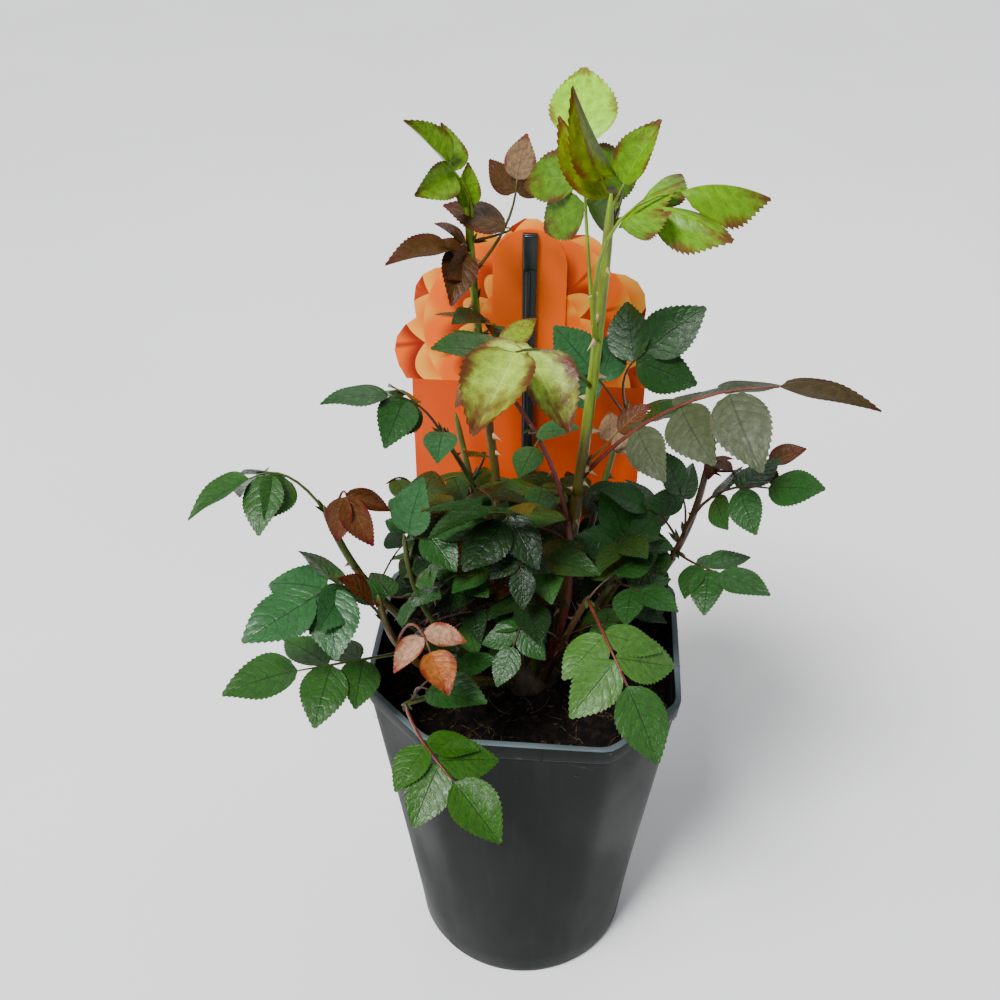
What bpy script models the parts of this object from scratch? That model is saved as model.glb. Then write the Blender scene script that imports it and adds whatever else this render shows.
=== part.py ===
"""Potted rose bush: pot, soil, stems, boughs and foliage masses as closed solids.

Sizes in the tables are millimetres and degrees; MM turns them into metres.
Headings are seen from above: 0 is +X, 90 is +Y. The origin is the middle of the
pot's flat underside, with +Z up and one flat of the pot towards -Y.
"""
from dataclasses import dataclass, replace
from math import atan2, cos, hypot, pi, radians, sin

import bmesh
import bpy
import numpy as np
from mathutils import Matrix, Vector
from mathutils.bvhtree import BVHTree

MM = 0.001
GAP = 0.3                    # clearance between pieces that touch in the real plant
WELD = 0.001                 # corners closer than this are one corner

# Pot: a square with cut corners at the rim, running down into a round foot.
POT_WIDTH = 190.0            # across the flats at the rim
POT_CORNER = 41.0            # leg of each cut corner
POT_HEIGHT = 256.0
POT_FOOT_RADIUS = 73.5
POT_WALL = 1.8
POT_FLOOR = 4.0
RIM_BAND_HEIGHT = 12.0
RIM_BAND_OUT = 1.6           # how far the rim band stands out of the wall
RIM_LIP = 4.0                # width of the flat top edge
FOOT_STEP_HEIGHT = 4.0
FOOT_STEP_IN = 1.2
WALL_LEVELS = (0.25, 0.5, 0.75)           # rings of the wall, in shares of the height
POT_SIDE_STEPS = 4
POT_CORNER_STEPS = 3

SOIL_LEVEL = 228.0
SOIL_SHOULDER = 4.0          # the soil's edge lies this much below its level
SOIL_SWELL = 3.0             # height of the unevenness of the soil
SOIL_RINGS = (0.97, 0.72, 0.46, 0.2)      # rings of the soil's top, in shares of the way out

# Crown: the low woody knob that all the stems rise from.
CROWN_CENTRE = (2.0, 0.0, 226.0)
CROWN_SIZE = (25.0, 25.0, 20.0)
CROWN_KNOB = 0.07            # how much its sides bulge and pull in
STEM_START = 232.0           # height of the stems' hidden starting points

# Plant label on its stake, behind the plant.
LABEL_Y = 78.0
LABEL_X = -7.0
LABEL_THICK = 1.0
LABEL_PANEL = (146.0, 272.0, 396.0)      # width, bottom, top of the square panel
LABEL_FAN = (85.0, 109.0)                # half width and height of the scalloped top
LABEL_SCALLOPS = 7
SCALLOP_STEPS = 5
SCALLOP_DEPTH = 0.10
TONGUE = (44.0, 388.0, 499.0)            # width, bottom, top of the front tongue
TONGUE_STEPS = 10
STAKE_WIDTH = 9.0
STAKE_THICK = 3.0
STAKE_TOP = 497.0
STAKE_SINK = 60.0

# Stems.
BOUGH_STEPS = 8
STEM_STEPS = 6
SHOOT_STEPS = 40

# Leaves.
LEAF_WIDTH = 0.345           # half width of a leaflet, in leaflet lengths
LEAF_THICK = 0.9
LEAF_MIDDLE = 0.45           # where a leaflet is thickest, in leaflet lengths
LEAF_STATIONS = {-2: (0.0, 0.0), -1: (0.26, 0.98), 1: (0.66, 0.84), 2: (1.0, 0.0)}
LEAF_SAG = 0.10              # how far the tip bends down, in leaflet lengths
LEAF_FOLD = 0.10             # how far the sides rise, in leaflet lengths
LEAF_SINK = 0.45             # depth of a leaflet's root in its stalk
PAIR_SPREAD = 62.0           # angle between a side leaflet and the stalk
PAIR_DROP = 0.18
PAIR_STAGGER = 0.9           # half the distance along the stalk between a pair's two roots
PAIR_SIZE = (0.62, 0.28)     # size of the first pair, and what is added up to the end leaflet
STALK_RADIUS = (0.85, 0.60)
STALK_STEPS = 3
STALK_ARCH = 0.45
LAST_NODE = 0.975            # leaves leave their stem no nearer to its end than this
SUN = (0.0, -0.25, 1.0)      # blades turn towards this

# Rule-made leaves, which stand round a shoot at the golden angle.
FILL_REACH = 42.0
FILL_SIZE = (27.0, 3.0)      # size of a leaflet, and what every other leaf has more
FILL_TURN = 137.5
FILL_FIRST_TURN = 60.0
FILL_PITCH = (45.0, -8.0, 3)              # pitch, its step and how many steps before it repeats
FILL_DROOP = 40.0
FILL_OUTWARD = 0.4           # how far the blades turn outwards from the sun
FILL_NUDGES = ((0, 0), (30, 0), (-30, 0), (0, 25), (60, 10), (-60, 10), (0, -25), (90, 0), (-90, 0))

# Space for the rule-made leaves: distance from the pot's axis, bottom and top.
FILL_SPACE = (88.0, 262.0, 430.0)
FILL_FRONT_FLOOR = 300.0


@dataclass(frozen=True)
class Leaf:
    """One compound leaf: stalk heading, pitch and reach, then its end leaflet's."""
    at: float
    heading: float
    pitch: float
    reach: float
    blade_heading: float
    blade_pitch: float
    count: int
    size: float
    roll: float = 0.0
    spacing: float = 0.22
    droop: float = 0.0       # how far the leaflets hang towards the ground


@dataclass(frozen=True)
class Shoot:
    """One stem: its direction turns evenly by curl (pitch) and swing (heading)."""
    name: str
    foot: tuple
    heading: float
    rise: float
    length: float
    curl: float
    swing: float
    radii: tuple
    bare: float
    fill: int
    leaves: tuple = ()


SHOOTS = (
    Shoot("main_cane", (18, 5), -45, 85, 340, -8, -43, (4.0, 2.4), 0.42, 0, (
        Leaf(0.45, -20, 35, 135, -15, 10, 7, 50, 5, 0.22),
        Leaf(0.48, 10, 49, 30, 20, 49, 3, 23),
        Leaf(0.65, -110, 35, 124, -105, 20, 5, 46, 0, 0.14, 0.8),
        Leaf(0.72, 112, 73, 104, 95, 45, 5, 42, 0, 0.15),
        Leaf(0.97, 66, 31, 17, -55, 60, 1, 34, -35),
        Leaf(0.94, 79, 64, 26, -150, 50, 1, 48, 30),
        Leaf(0.77, -60, 55, 113, -25, 4, 5, 38, 0, 0.20),
    )),
    Shoot("tall_left", (-6, 21), 135, 78, 300, 9, 40, (3.0, 2.2), 0.66, 0, (
        Leaf(0.91, -145, 75, 50, -160, 40, 3, 35, 15, 0.12),
        Leaf(0.97, -35, 85, 6, -115, 80, 1, 25),
        Leaf(0.86, -25, 65, 65, -80, 80, 5, 22, 0, 0.15),
        Leaf(0.80, -135, 65, 40, -150, 10, 5, 37, 0, 0.18),
        Leaf(0.92, -34, 55, 12, -139, 20, 3, 24),
        Leaf(0.73, -60, 45, 20, -145, 10, 3, 36),
    )),
    Shoot("red_stem", (10, -6), -28, 68, 232, 58, 54, (3.2, 1.3), 0.55, 0, (
        Leaf(0.95, -160, 70, 30, -145, 5, 3, 37),
        Leaf(0.97, 108, 59, 22, 25, 15, 1, 26),
        Leaf(0.80, -95, 25, 25, -115, -25, 1, 24),
        Leaf(0.84, -80, 25, 16, 0, 15, 1, 26),
    )),
    Shoot("right_cane", (26, 0), 10, 46, 193, 40, -60, (3.9, 2.4), 0.60, 1, (
        Leaf(0.95, -15, 65, 11, -60, -10, 3, 14),
        Leaf(0.97, 10, 5, 35, 0, 35, 3, 22),
        Leaf(0.68, -45, 51, 85, -30, 11, 5, 33, -15, 0.25),
        Leaf(0.63, -55, 15, 40, -30, 5, 5, 32),
        Leaf(0.70, 100, 50, 25, -160, 60, 3, 28),
        Leaf(0.66, 165, 45, 30, -155, 25, 3, 33),
    )),
    Shoot("left_cane", (-18, -4), -150, 35, 197, 43, 2, (3.2, 2.5), 0.75, 0, (
        Leaf(0.97, -155, 40, 50, -155, -20, 5, 36, -10),
        Leaf(0.92, -15, 65, 25, -15, 5, 3, 24, 0, 0.1),
    )),
    Shoot("left_stem", (-14, -18), -149, 20, 150, 65, 25, (2.8, 2.0), 0.50, 0, (
        Leaf(0.85, -150, 40, 50, -135, -35, 5, 45),
        Leaf(0.62, -150, 10, 65, -160, 0, 5, 43, -5, 0.30),
        Leaf(0.95, -125, 48, 8, -155, 58, 1, 29),
        Leaf(0.70, -60, 35, 65, -60, -40, 3, 27),
    )),
    Shoot("left_twig", (-9, -9), -144, 36, 165, 53, 6, (2.2, 1.4), 0.50, 2, (
        Leaf(0.97, -15, 65, 6, 90, 80, 1, 36),
        Leaf(0.65, -95, 50, 25, -25, 25, 3, 25),
        Leaf(0.72, -148, 15, 19, -178, 20, 3, 27),
        Leaf(0.92, 10, 45, 20, 10, -10, 3, 32),
    )),
    Shoot("middle_left", (-4, 4), -131, 86, 209, -26, -8, (2.2, 1.3), 0.60, 1, (
        Leaf(0.97, -170, 45, 40, -155, 10, 5, 36),
        Leaf(0.95, -96, 53, 17, -90, -20, 1, 27),
        Leaf(0.78, -45, 70, 25, -115, 10, 1, 20),
    )),
    Shoot("centre_twig", (0, -12), -118, 79, 155, 0, 26, (2.2, 1.4), 0.55, 1, (
        Leaf(1.00, -110, 35, 40, -150, 20, 3, 46, -50),
        Leaf(0.97, -105, 20, 15, -135, -40, 3, 37),
        Leaf(0.98, -39, 29, 6, -9, 4, 1, 27),
    )),
    Shoot("front_left", (-8, -20), -122, 39, 107, -23, -12, (2.2, 1.6), 0.45, 0, (
        Leaf(1.00, -60, 5, 70, -30, -35, 5, 39),
        Leaf(0.90, -50, 55, 25, -25, 0, 1, 40),
    )),
    Shoot("front_right", (12, -16), -66, 65, 126, -2, 5, (2.4, 1.8), 0.55, 0, (
        Leaf(0.97, -70, -5, 65, -45, -50, 5, 42, 0, 0.27),
    )),
    Shoot("right_twig", (22, -4), -41, 73, 122, -11, 14, (2.2, 1.6), 0.50, 1, (
        Leaf(1.00, -135, 65, 20, -45, -5, 3, 29),
        Leaf(0.78, -60, 30, 35, -35, 0, 3, 28),
        Leaf(0.93, 90, 18, 19, 180, 65, 3, 36),
    )),
    Shoot("front_twig", (6, -16), -90, 80, 116, -8, 10, (2.2, 1.6), 0.45, 0, (
        Leaf(0.97, 50, 65, 9, -40, -20, 3, 33),
        Leaf(0.80, -105, -5, 45, -110, -40, 5, 24),
    )),
    Shoot("back_right", (16, 18), 37, 73, 177, -1, 10, (2.6, 1.8), 0.50, 4, (
        Leaf(0.97, -45, 75, 45, 10, 30, 3, 42, -35),
        Leaf(0.95, -155, 56, 40, 150, 41, 3, 36, 35),
        Leaf(0.85, -60, 50, 50, -40, 20, 3, 32),
    )),
    Shoot("back_left", (-14, 18), 137, 73, 162, -5, -8, (2.6, 1.8), 0.50, 4, (
        Leaf(1.00, -100, 45, 25, -150, 10, 5, 32),
    )),
    Shoot("low_right", (24, 12), 22, 48, 130, 25, 15, (2.4, 1.6), 0.45, 6),
    Shoot("low_left", (-20, 10), 158, 48, 130, 25, -15, (2.4, 1.6), 0.45, 6),
)


def main() -> None:
    """Clear the scene and build every piece."""
    clear_scene()
    parts = new_collection("rose_bush")
    cutters = new_collection("cutters")
    make_crown(parts)
    stake = make_label(parts)
    make_pot(parts)
    make_soil(parts, cutters, [stake])
    grow_plant(parts, cutters)


# --- scene and material helpers ---------------------------------------------

def clear_scene() -> None:
    """Remove every object that is in the scene."""
    for old in list(bpy.data.objects):
        bpy.data.objects.remove(old, do_unlink=True)


def new_collection(name: str) -> bpy.types.Collection:
    """Make a collection under the scene's own."""
    collection = bpy.data.collections.new(name)
    bpy.context.scene.collection.children.link(collection)
    return collection


def finish(name: str, colour: tuple, roughness: float) -> bpy.types.Material:
    """Make a plain Principled material."""
    material = bpy.data.materials.new(name)
    material.use_nodes = True
    shader = material.node_tree.nodes["Principled BSDF"]
    shader.inputs["Base Color"].default_value = (*colour, 1.0)
    shader.inputs["Roughness"].default_value = roughness
    shader.inputs["Metallic"].default_value = 0.0
    return material


def add_object(name: str, bm: bmesh.types.BMesh, collection, material=None) -> bpy.types.Object:
    """Turn a bmesh in millimetres into an object in metres."""
    bmesh.ops.scale(bm, verts=bm.verts, vec=(MM, MM, MM))
    bmesh.ops.recalc_face_normals(bm, faces=bm.faces)
    mesh = bpy.data.meshes.new(name)
    bm.to_mesh(mesh)
    bm.free()
    obj = bpy.data.objects.new(name, mesh)
    collection.objects.link(obj)
    if material is not None:
        mesh.materials.append(material)
    return obj


def as_cutter(obj: bpy.types.Object) -> bpy.types.Object:
    """Mark an object as a cutter, left out of the part."""
    obj.hide_render = True
    obj.display_type = "WIRE"
    return obj


def apply_modifiers(obj: bpy.types.Object) -> None:
    """Replace an object's mesh with its evaluated one."""
    graph = bpy.context.evaluated_depsgraph_get()
    mesh = bpy.data.meshes.new_from_object(obj.evaluated_get(graph))
    obj.modifiers.clear()
    obj.data = mesh


def cut(obj: bpy.types.Object, cutter: bpy.types.Object) -> None:
    """Take a cutter's shape out of an object, for good."""
    step = obj.modifiers.new("cut", "BOOLEAN")
    step.operation = "DIFFERENCE"
    step.object = cutter
    apply_modifiers(obj)


def box(name: str, low: tuple, high: tuple, collection, material=None) -> bpy.types.Object:
    """Make a box between two corners."""
    bm = bmesh.new()
    bmesh.ops.create_cube(bm, size=1.0)
    for vert in bm.verts:
        vert.co = Vector([low[i] + (vert.co[i] + 0.5) * (high[i] - low[i]) for i in range(3)])
    return add_object(name, bm, collection, material)


# --- pot and soil --------------------------------------------------------------

def rim_radius(angle: float) -> float:
    """Distance from the axis to the square with cut corners, at the rim."""
    half = POT_WIDTH / 2
    side = half / max(abs(cos(angle)), abs(sin(angle)))
    corner = (2 * half - POT_CORNER) / (abs(cos(angle)) + abs(sin(angle)))
    return min(side, corner)


def pot_angles() -> list:
    """Angles of the pot's mesh lines: every corner of the rim is one of them."""
    half = POT_WIDTH / 2
    edge = atan2(half - POT_CORNER, half)
    angles = []
    for quarter in range(4):
        start = quarter * pi / 2
        for step in range(POT_SIDE_STEPS):
            angles.append(start - edge + 2 * edge * step / POT_SIDE_STEPS)
        for step in range(POT_CORNER_STEPS):
            angles.append(start + edge + (pi / 2 - 2 * edge) * step / POT_CORNER_STEPS)
    return angles


def pot_ring(height: float, inset: float) -> list:
    """One ring of the pot's wall: a round foot that turns into the rim's outline."""
    share = max(0.0, min(1.0, height / POT_HEIGHT))
    ring = []
    for angle in pot_angles():
        radius = POT_FOOT_RADIUS * (1 - share) + rim_radius(angle) * share - inset
        ring.append((radius * cos(angle), radius * sin(angle), height))
    return ring


def loft(rings: list) -> bmesh.types.BMesh:
    """Join rings of equal count with triangles and close both ends with a fan.

    The diagonals lean the same way on rising and falling rings, so that two walls
    with rings at the same heights keep their clearance.
    """
    bm = bmesh.new()
    loops = [[bm.verts.new(point) for point in ring] for ring in rings]
    for low, high in zip(loops, loops[1:]):
        for i, vert in enumerate(low):
            j = (i + 1) % len(low)
            across = (vert, high[j]) if high[i].co.z >= vert.co.z else (low[j], high[i])
            bm.faces.new((vert, low[j], across[1]))
            bm.faces.new((across[0], high[j], high[i]))
    for loop in (loops[0], loops[-1]):
        middle = sum((vert.co for vert in loop), Vector()) / len(loop)
        hub = bm.verts.new(middle)
        for i, vert in enumerate(loop):
            bm.faces.new((vert, loop[(i + 1) % len(loop)], hub))
    return bm


def make_pot(parts) -> bpy.types.Object:
    """The pot: outer wall with a foot step and a rim band, then the inner wall."""
    band = POT_HEIGHT - RIM_BAND_HEIGHT
    outside = (
        (0.0, FOOT_STEP_IN + 1.0),
        (1.0, FOOT_STEP_IN),
        (FOOT_STEP_HEIGHT, FOOT_STEP_IN),
        (FOOT_STEP_HEIGHT + 0.8, 0.0),
        *[(POT_HEIGHT * share, 0.0) for share in WALL_LEVELS],
        (band, 0.0),
        (band + 0.6, -RIM_BAND_OUT),
        (POT_HEIGHT - 1.0, -RIM_BAND_OUT),
        (POT_HEIGHT, 1.0 - RIM_BAND_OUT),
    )
    inside = (
        (POT_HEIGHT, RIM_LIP - RIM_BAND_OUT - 0.8),
        (POT_HEIGHT - 0.8, RIM_LIP - RIM_BAND_OUT),
        (band, POT_WALL + 0.6),
        (SOIL_LEVEL - SOIL_SHOULDER, POT_WALL),
        *[(POT_HEIGHT * share, POT_WALL) for share in reversed(WALL_LEVELS)],
        (POT_FLOOR, POT_WALL + FOOT_STEP_IN),
    )
    bm = loft([pot_ring(height, inset) for height, inset in outside + inside])
    return add_object("pot", bm, parts, finish("pot_plastic", (0.030, 0.038, 0.040), 0.45))


def make_soil(parts, cutters, buried: list) -> bpy.types.Object:
    """The soil: fills the pot, with an uneven top and room for what stands in it."""
    inset = POT_WALL + GAP
    rings = [pot_ring(POT_FLOOR + GAP, inset + FOOT_STEP_IN)]
    rings += [pot_ring(POT_HEIGHT * share, inset) for share in WALL_LEVELS]
    rings.append(pot_ring(SOIL_LEVEL - SOIL_SHOULDER, inset))
    for share in SOIL_RINGS:
        rings.append([soil_point(x, y, share) for x, y, z in pot_ring(SOIL_LEVEL, inset)])
    soil = add_object("soil", loft(rings), parts, finish("soil", (0.018, 0.012, 0.009), 0.95))
    cut(soil, as_cutter(crown_shape("crown_room", cutters, GAP)))
    for piece in buried:
        cut(soil, swollen(piece, cutters, GAP))
    return soil


def soil_point(x: float, y: float, share: float) -> tuple:
    """A point of the soil's top, at a share of the way out to the wall."""
    px, py = x * share, y * share
    swell = sin(px * 0.11 + 1.3) * cos(py * 0.09 - 0.4) + 0.4 * sin((px - py) * 0.2)
    return px, py, SOIL_LEVEL + SOIL_SWELL * 0.5 * swell


def swollen(obj: bpy.types.Object, cutters, grow: float) -> bpy.types.Object:
    """A cutter that is a box around an object, larger by a clearance."""
    corners = [Vector(corner) / MM for corner in obj.bound_box]
    low = [min(c[i] for c in corners) - grow for i in range(3)]
    high = [max(c[i] for c in corners) + grow for i in range(3)]
    return as_cutter(box(obj.name + "_room", low, high, cutters))


def crown_shape(name: str, collection, grow: float, material=None) -> bpy.types.Object:
    """The knobbly crown, larger by a clearance where it serves as a cutter."""
    bm = bmesh.new()
    bmesh.ops.create_uvsphere(bm, u_segments=16, v_segments=8, radius=1.0)
    for vert in bm.verts:
        turn = atan2(vert.co.y, vert.co.x)
        knob = 1.0 + CROWN_KNOB * sin(3 * turn + 0.5) * hypot(vert.co.x, vert.co.y)
        size = [s * knob + grow for s in CROWN_SIZE]
        vert.co = Vector([CROWN_CENTRE[i] + vert.co[i] * size[i] for i in range(3)])
    return add_object(name, bm, collection, material)


def make_crown(parts) -> bpy.types.Object:
    """The short woody stem inside the plant, from which all the boughs rise."""
    return crown_shape("crown_stem", parts, 0.0, finish("old_bark", (0.10, 0.065, 0.035), 0.85))


# --- label -----------------------------------------------------------------------

def card_outline() -> list:
    """The card: a plain panel below a fan of equal scallops."""
    width, bottom, top = LABEL_PANEL
    reach_x, reach_z = LABEL_FAN
    points = [(-width / 2, top), (-width / 2, bottom), (width / 2, bottom), (width / 2, top)]
    for scallop in range(LABEL_SCALLOPS):
        for step in range(SCALLOP_STEPS):
            angle = pi * (scallop + step / SCALLOP_STEPS) / LABEL_SCALLOPS
            bulge = 1.0 - SCALLOP_DEPTH * (1.0 - sin(pi * step / SCALLOP_STEPS))
            points.append((reach_x * bulge * cos(angle), top + reach_z * bulge * sin(angle)))
    points.append((-reach_x * (1.0 - SCALLOP_DEPTH), top))
    return points


def flat_card(name: str, outline: list, y: float, thick: float, parts, material):
    """A flat upright piece cut to an outline, as a filled 2D curve."""
    curve = bpy.data.curves.new(name, "CURVE")
    curve.dimensions = "2D"
    curve.fill_mode = "BOTH"
    curve.extrude = thick * MM / 2
    spline = curve.splines.new("POLY")
    spline.points.add(len(outline) - 1)
    spline.use_cyclic_u = True
    for point, (x, z) in zip(spline.points, outline):
        point.co = (x * MM, z * MM, 0.0, 1.0)
    obj = bpy.data.objects.new(name, curve)
    parts.objects.link(obj)
    obj.matrix_world = Matrix.Translation((LABEL_X * MM, y * MM, 0.0)) @ Matrix.Rotation(pi / 2, 4, "X")
    return curve_to_mesh(obj, parts, material)


def curve_to_mesh(obj: bpy.types.Object, collection, material=None) -> bpy.types.Object:
    """Replace a curve object with its welded mesh, in world space."""
    name = obj.name
    bpy.context.view_layer.update()
    graph = bpy.context.evaluated_depsgraph_get()
    mesh = bpy.data.meshes.new_from_object(obj.evaluated_get(graph))
    mesh.transform(obj.matrix_world)
    bm = bmesh.new()
    bm.from_mesh(mesh)
    bmesh.ops.remove_doubles(bm, verts=bm.verts, dist=WELD * MM)
    bmesh.ops.recalc_face_normals(bm, faces=bm.faces)
    bm.to_mesh(mesh)
    bm.free()
    curve = obj.data
    bpy.data.objects.remove(obj, do_unlink=True)
    bpy.data.curves.remove(curve)
    mesh.name = name
    mesh.materials.clear()
    if material is not None:
        mesh.materials.append(material)
    solid = bpy.data.objects.new(name, mesh)
    collection.objects.link(solid)
    return solid


def tongue_outline() -> list:
    """The tongue: a strip with a round top."""
    width, bottom, top = TONGUE
    half = width / 2
    points = [(-half, bottom), (half, bottom)]
    for step in range(TONGUE_STEPS + 1):
        angle = pi * step / TONGUE_STEPS
        points.append((half * cos(angle), top - half + half * sin(angle)))
    return points


def make_label(parts) -> bpy.types.Object:
    """The card, the tongue in front of it and the stake that carries both."""
    orange = finish("label_card", (0.80, 0.20, 0.05), 0.4)
    flat_card("label_card", card_outline(), LABEL_Y, LABEL_THICK, parts, orange)
    tongue_y = LABEL_Y - LABEL_THICK - GAP
    flat_card("label_tongue", tongue_outline(), tongue_y, LABEL_THICK, parts, orange)
    front = tongue_y - LABEL_THICK / 2 - GAP
    low = (LABEL_X - STAKE_WIDTH / 2, front - STAKE_THICK, SOIL_LEVEL - STAKE_SINK)
    high = (LABEL_X + STAKE_WIDTH / 2, front, STAKE_TOP)
    return box("label_stake", low, high, parts, finish("stake_plastic", (0.02, 0.035, 0.03), 0.4))


# --- geometry of the plant ---------------------------------------------------------

def direction(heading: float, pitch: float) -> np.ndarray:
    """Unit vector of a heading and a pitch in degrees."""
    turn, rise = radians(heading), radians(pitch)
    return np.array([cos(rise) * cos(turn), cos(rise) * sin(turn), sin(rise)])


def shoot_path(shoot: Shoot) -> np.ndarray:
    """Centre line of a shoot, whose direction turns evenly along its length."""
    points = [np.array([*shoot.foot, STEM_START], dtype=float)]
    for i in range(SHOOT_STEPS):
        share = (i + 0.5) / SHOOT_STEPS
        heading = shoot.heading + shoot.swing * share
        pitch = shoot.rise + shoot.curl * share
        points.append(points[-1] + direction(heading, pitch) * shoot.length / SHOOT_STEPS)
    return np.array(points)


def along(path: np.ndarray, share: float) -> tuple:
    """Point and direction at a share of a path."""
    place = min(max(share, 0.0), 1.0) * (len(path) - 1)
    i = min(int(place), len(path) - 2)
    step = path[i + 1] - path[i]
    return path[i] + step * (place - i), step / np.linalg.norm(step)


def stretch(path: np.ndarray, start: float, end: float, count: int) -> np.ndarray:
    """Evenly spaced points of the part of a path between two shares."""
    return np.array([along(path, start + (end - start) * i / count)[0] for i in range(count + 1)])


def stalk_path(start: np.ndarray, leaf: Leaf) -> np.ndarray:
    """Centre line of a leaf's stalk, which ends in its end leaflet's direction."""
    end = start + direction(leaf.heading, leaf.pitch) * leaf.reach
    guide = end - direction(leaf.blade_heading, leaf.blade_pitch) * leaf.reach * STALK_ARCH
    share = np.linspace(0.0, 1.0, STALK_STEPS + 1)[:, None]
    return (1 - share) ** 2 * start + 2 * share * (1 - share) * guide + share ** 2 * end


def blade_axes(forward: np.ndarray, roll: float, sun: tuple) -> tuple:
    """Side and upper directions of a blade that turns to the sun, then rolls."""
    light = np.array(sun)
    upper = light - forward * (light @ forward)
    upper /= np.linalg.norm(upper)
    side = np.cross(forward, upper)
    turn = radians(roll)
    return cos(turn) * side + sin(turn) * upper, cos(turn) * upper - sin(turn) * side


def leaflets_of(path: np.ndarray, leaf: Leaf, sun: tuple) -> list:
    """Places of a leaf's leaflets: (base, forward, side, upper, size)."""
    places = []
    pairs = (leaf.count - 1) // 2
    for pair in range(pairs):
        base, forward = along(path, 1 - leaf.spacing * (pairs - pair))
        side, upper = blade_axes(forward, leaf.roll, sun)
        size = leaf.size * (PAIR_SIZE[0] + PAIR_SIZE[1] * (pair + 1) / pairs)
        for hand in (-1, 1):
            spread = radians(PAIR_SPREAD)
            out = cos(spread) * forward + hand * sin(spread) * side - PAIR_DROP * upper
            out -= np.array([0.0, 0.0, leaf.droop])
            out /= np.linalg.norm(out)
            top = upper - out * (upper @ out)
            top /= np.linalg.norm(top)
            root = base + forward * hand * PAIR_STAGGER
            places.append((root, out, np.cross(out, top), top, size))
    base, forward = along(path, 1.0)
    forward = forward - np.array([0.0, 0.0, leaf.droop])
    forward /= np.linalg.norm(forward)
    side, upper = blade_axes(forward, leaf.roll, sun)
    places.append((base, forward, side, upper, leaf.size))
    return places


def rule_leaves(shoot: Shoot) -> list:
    """Leaves that stand round a shoot at the golden angle, above its bare part."""
    leaves = []
    pitch_start, pitch_step, pitch_count = FILL_PITCH
    for i in range(shoot.fill):
        at = shoot.bare + (1 - shoot.bare) * (i + 0.6) / (shoot.fill + 0.4)
        heading = shoot.heading + FILL_FIRST_TURN + FILL_TURN * i
        pitch = pitch_start + pitch_step * (i % pitch_count)
        size = FILL_SIZE[0] + FILL_SIZE[1] * (i % 2)
        leaves.append(Leaf(at, heading, pitch, FILL_REACH, heading, pitch - FILL_DROOP, 3, size))
    return leaves


# --- solids of the plant -------------------------------------------------------------

def limb(name: str, path: np.ndarray, radii: tuple, sides: int, collection, material=None):
    """A tapering limb with flat ends: a curve with a bevel, turned into a mesh."""
    curve = bpy.data.curves.new(name, "CURVE")
    curve.dimensions = "3D"
    curve.bevel_depth = MM
    curve.bevel_resolution = sides
    curve.use_fill_caps = True
    spline = curve.splines.new("POLY")
    spline.points.add(len(path) - 1)
    for i, (point, place) in enumerate(zip(spline.points, path)):
        point.co = (*(place * MM), 1.0)
        point.radius = radii[0] + (radii[1] - radii[0]) * i / (len(path) - 1)
    obj = bpy.data.objects.new(name, curve)
    collection.objects.link(obj)
    return curve_to_mesh(obj, collection, material)


def leaflet_solid(name: str, place: tuple, collection) -> bpy.types.Object:
    """A leaflet: a six-sided disc drawn to a leaf's outline, folded and bent."""
    base, forward, side, upper, size = place
    bm = bmesh.new()
    bmesh.ops.create_uvsphere(bm, u_segments=6, v_segments=2, radius=1.0)
    for vert in bm.verts:
        if abs(vert.co.z) > 0.5:
            share, width = LEAF_MIDDLE, 0.0
            height = vert.co.z * LEAF_THICK / 2
        else:
            share, width = LEAF_STATIONS[round(vert.co.y * 2)]
            width *= np.sign(round(vert.co.x, 3)) * LEAF_WIDTH * size
            height = LEAF_FOLD * abs(width) / LEAF_WIDTH
        height -= LEAF_SAG * size * share ** 2
        point = base + forward * (size * share - LEAF_SINK) + side * width + upper * height
        vert.co = Vector(point)
    return add_object(name, bm, collection)


def tree_of(objects: list) -> BVHTree:
    """Search tree of several objects' faces, in millimetres."""
    verts = []
    faces = []
    for obj in objects:
        start = len(verts)
        verts += [vert.co / MM for vert in obj.data.vertices]
        faces += [[start + i for i in face.vertices] for face in obj.data.polygons]
    return BVHTree.FromPolygons(verts, faces)


def grow_plant(parts, cutters) -> None:
    """Make every bough and every mass's own stem first, then each mass's leaves."""
    bark = finish("bark", (0.16, 0.13, 0.05), 0.6)
    foliage = finish("foliage", (0.05, 0.13, 0.04), 0.45)
    crown_room = as_cutter(crown_shape("crown_clear", cutters, GAP))
    fixed = [obj for obj in parts.objects if obj.name != "crown_stem"]
    masses = {}
    for shoot in SHOOTS:
        path = shoot_path(shoot)
        split = shoot.radii[0] + (shoot.radii[1] - shoot.radii[0]) * shoot.bare
        half_gap = GAP / 2 / shoot.length
        line = stretch(path, 0.0, shoot.bare - half_gap, BOUGH_STEPS)
        bough = limb(shoot.name + "_bough", line, (shoot.radii[0], split), 1, parts, bark)
        cut(bough, crown_room)
        fixed.append(bough)
        line = stretch(path, shoot.bare + half_gap, 1.0, STEM_STEPS)
        stem = limb(shoot.name + "_leaves", line, (split, shoot.radii[1]), 1, parts, foliage)
        masses[shoot.name] = [stem]
    for shoot in SHOOTS:
        path = shoot_path(shoot)
        own = masses[shoot.name]
        others = fixed + [obj for group in masses.values() if group is not own for obj in group]
        for leaf in shoot.leaves:
            own += leaf_pieces(path, leaf, SUN, others, own[1:], parts)
        for leaf in rule_leaves(shoot):
            own += fill_pieces(path, leaf, others, own[1:], parts)
    for group in masses.values():
        fuse(group)


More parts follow.
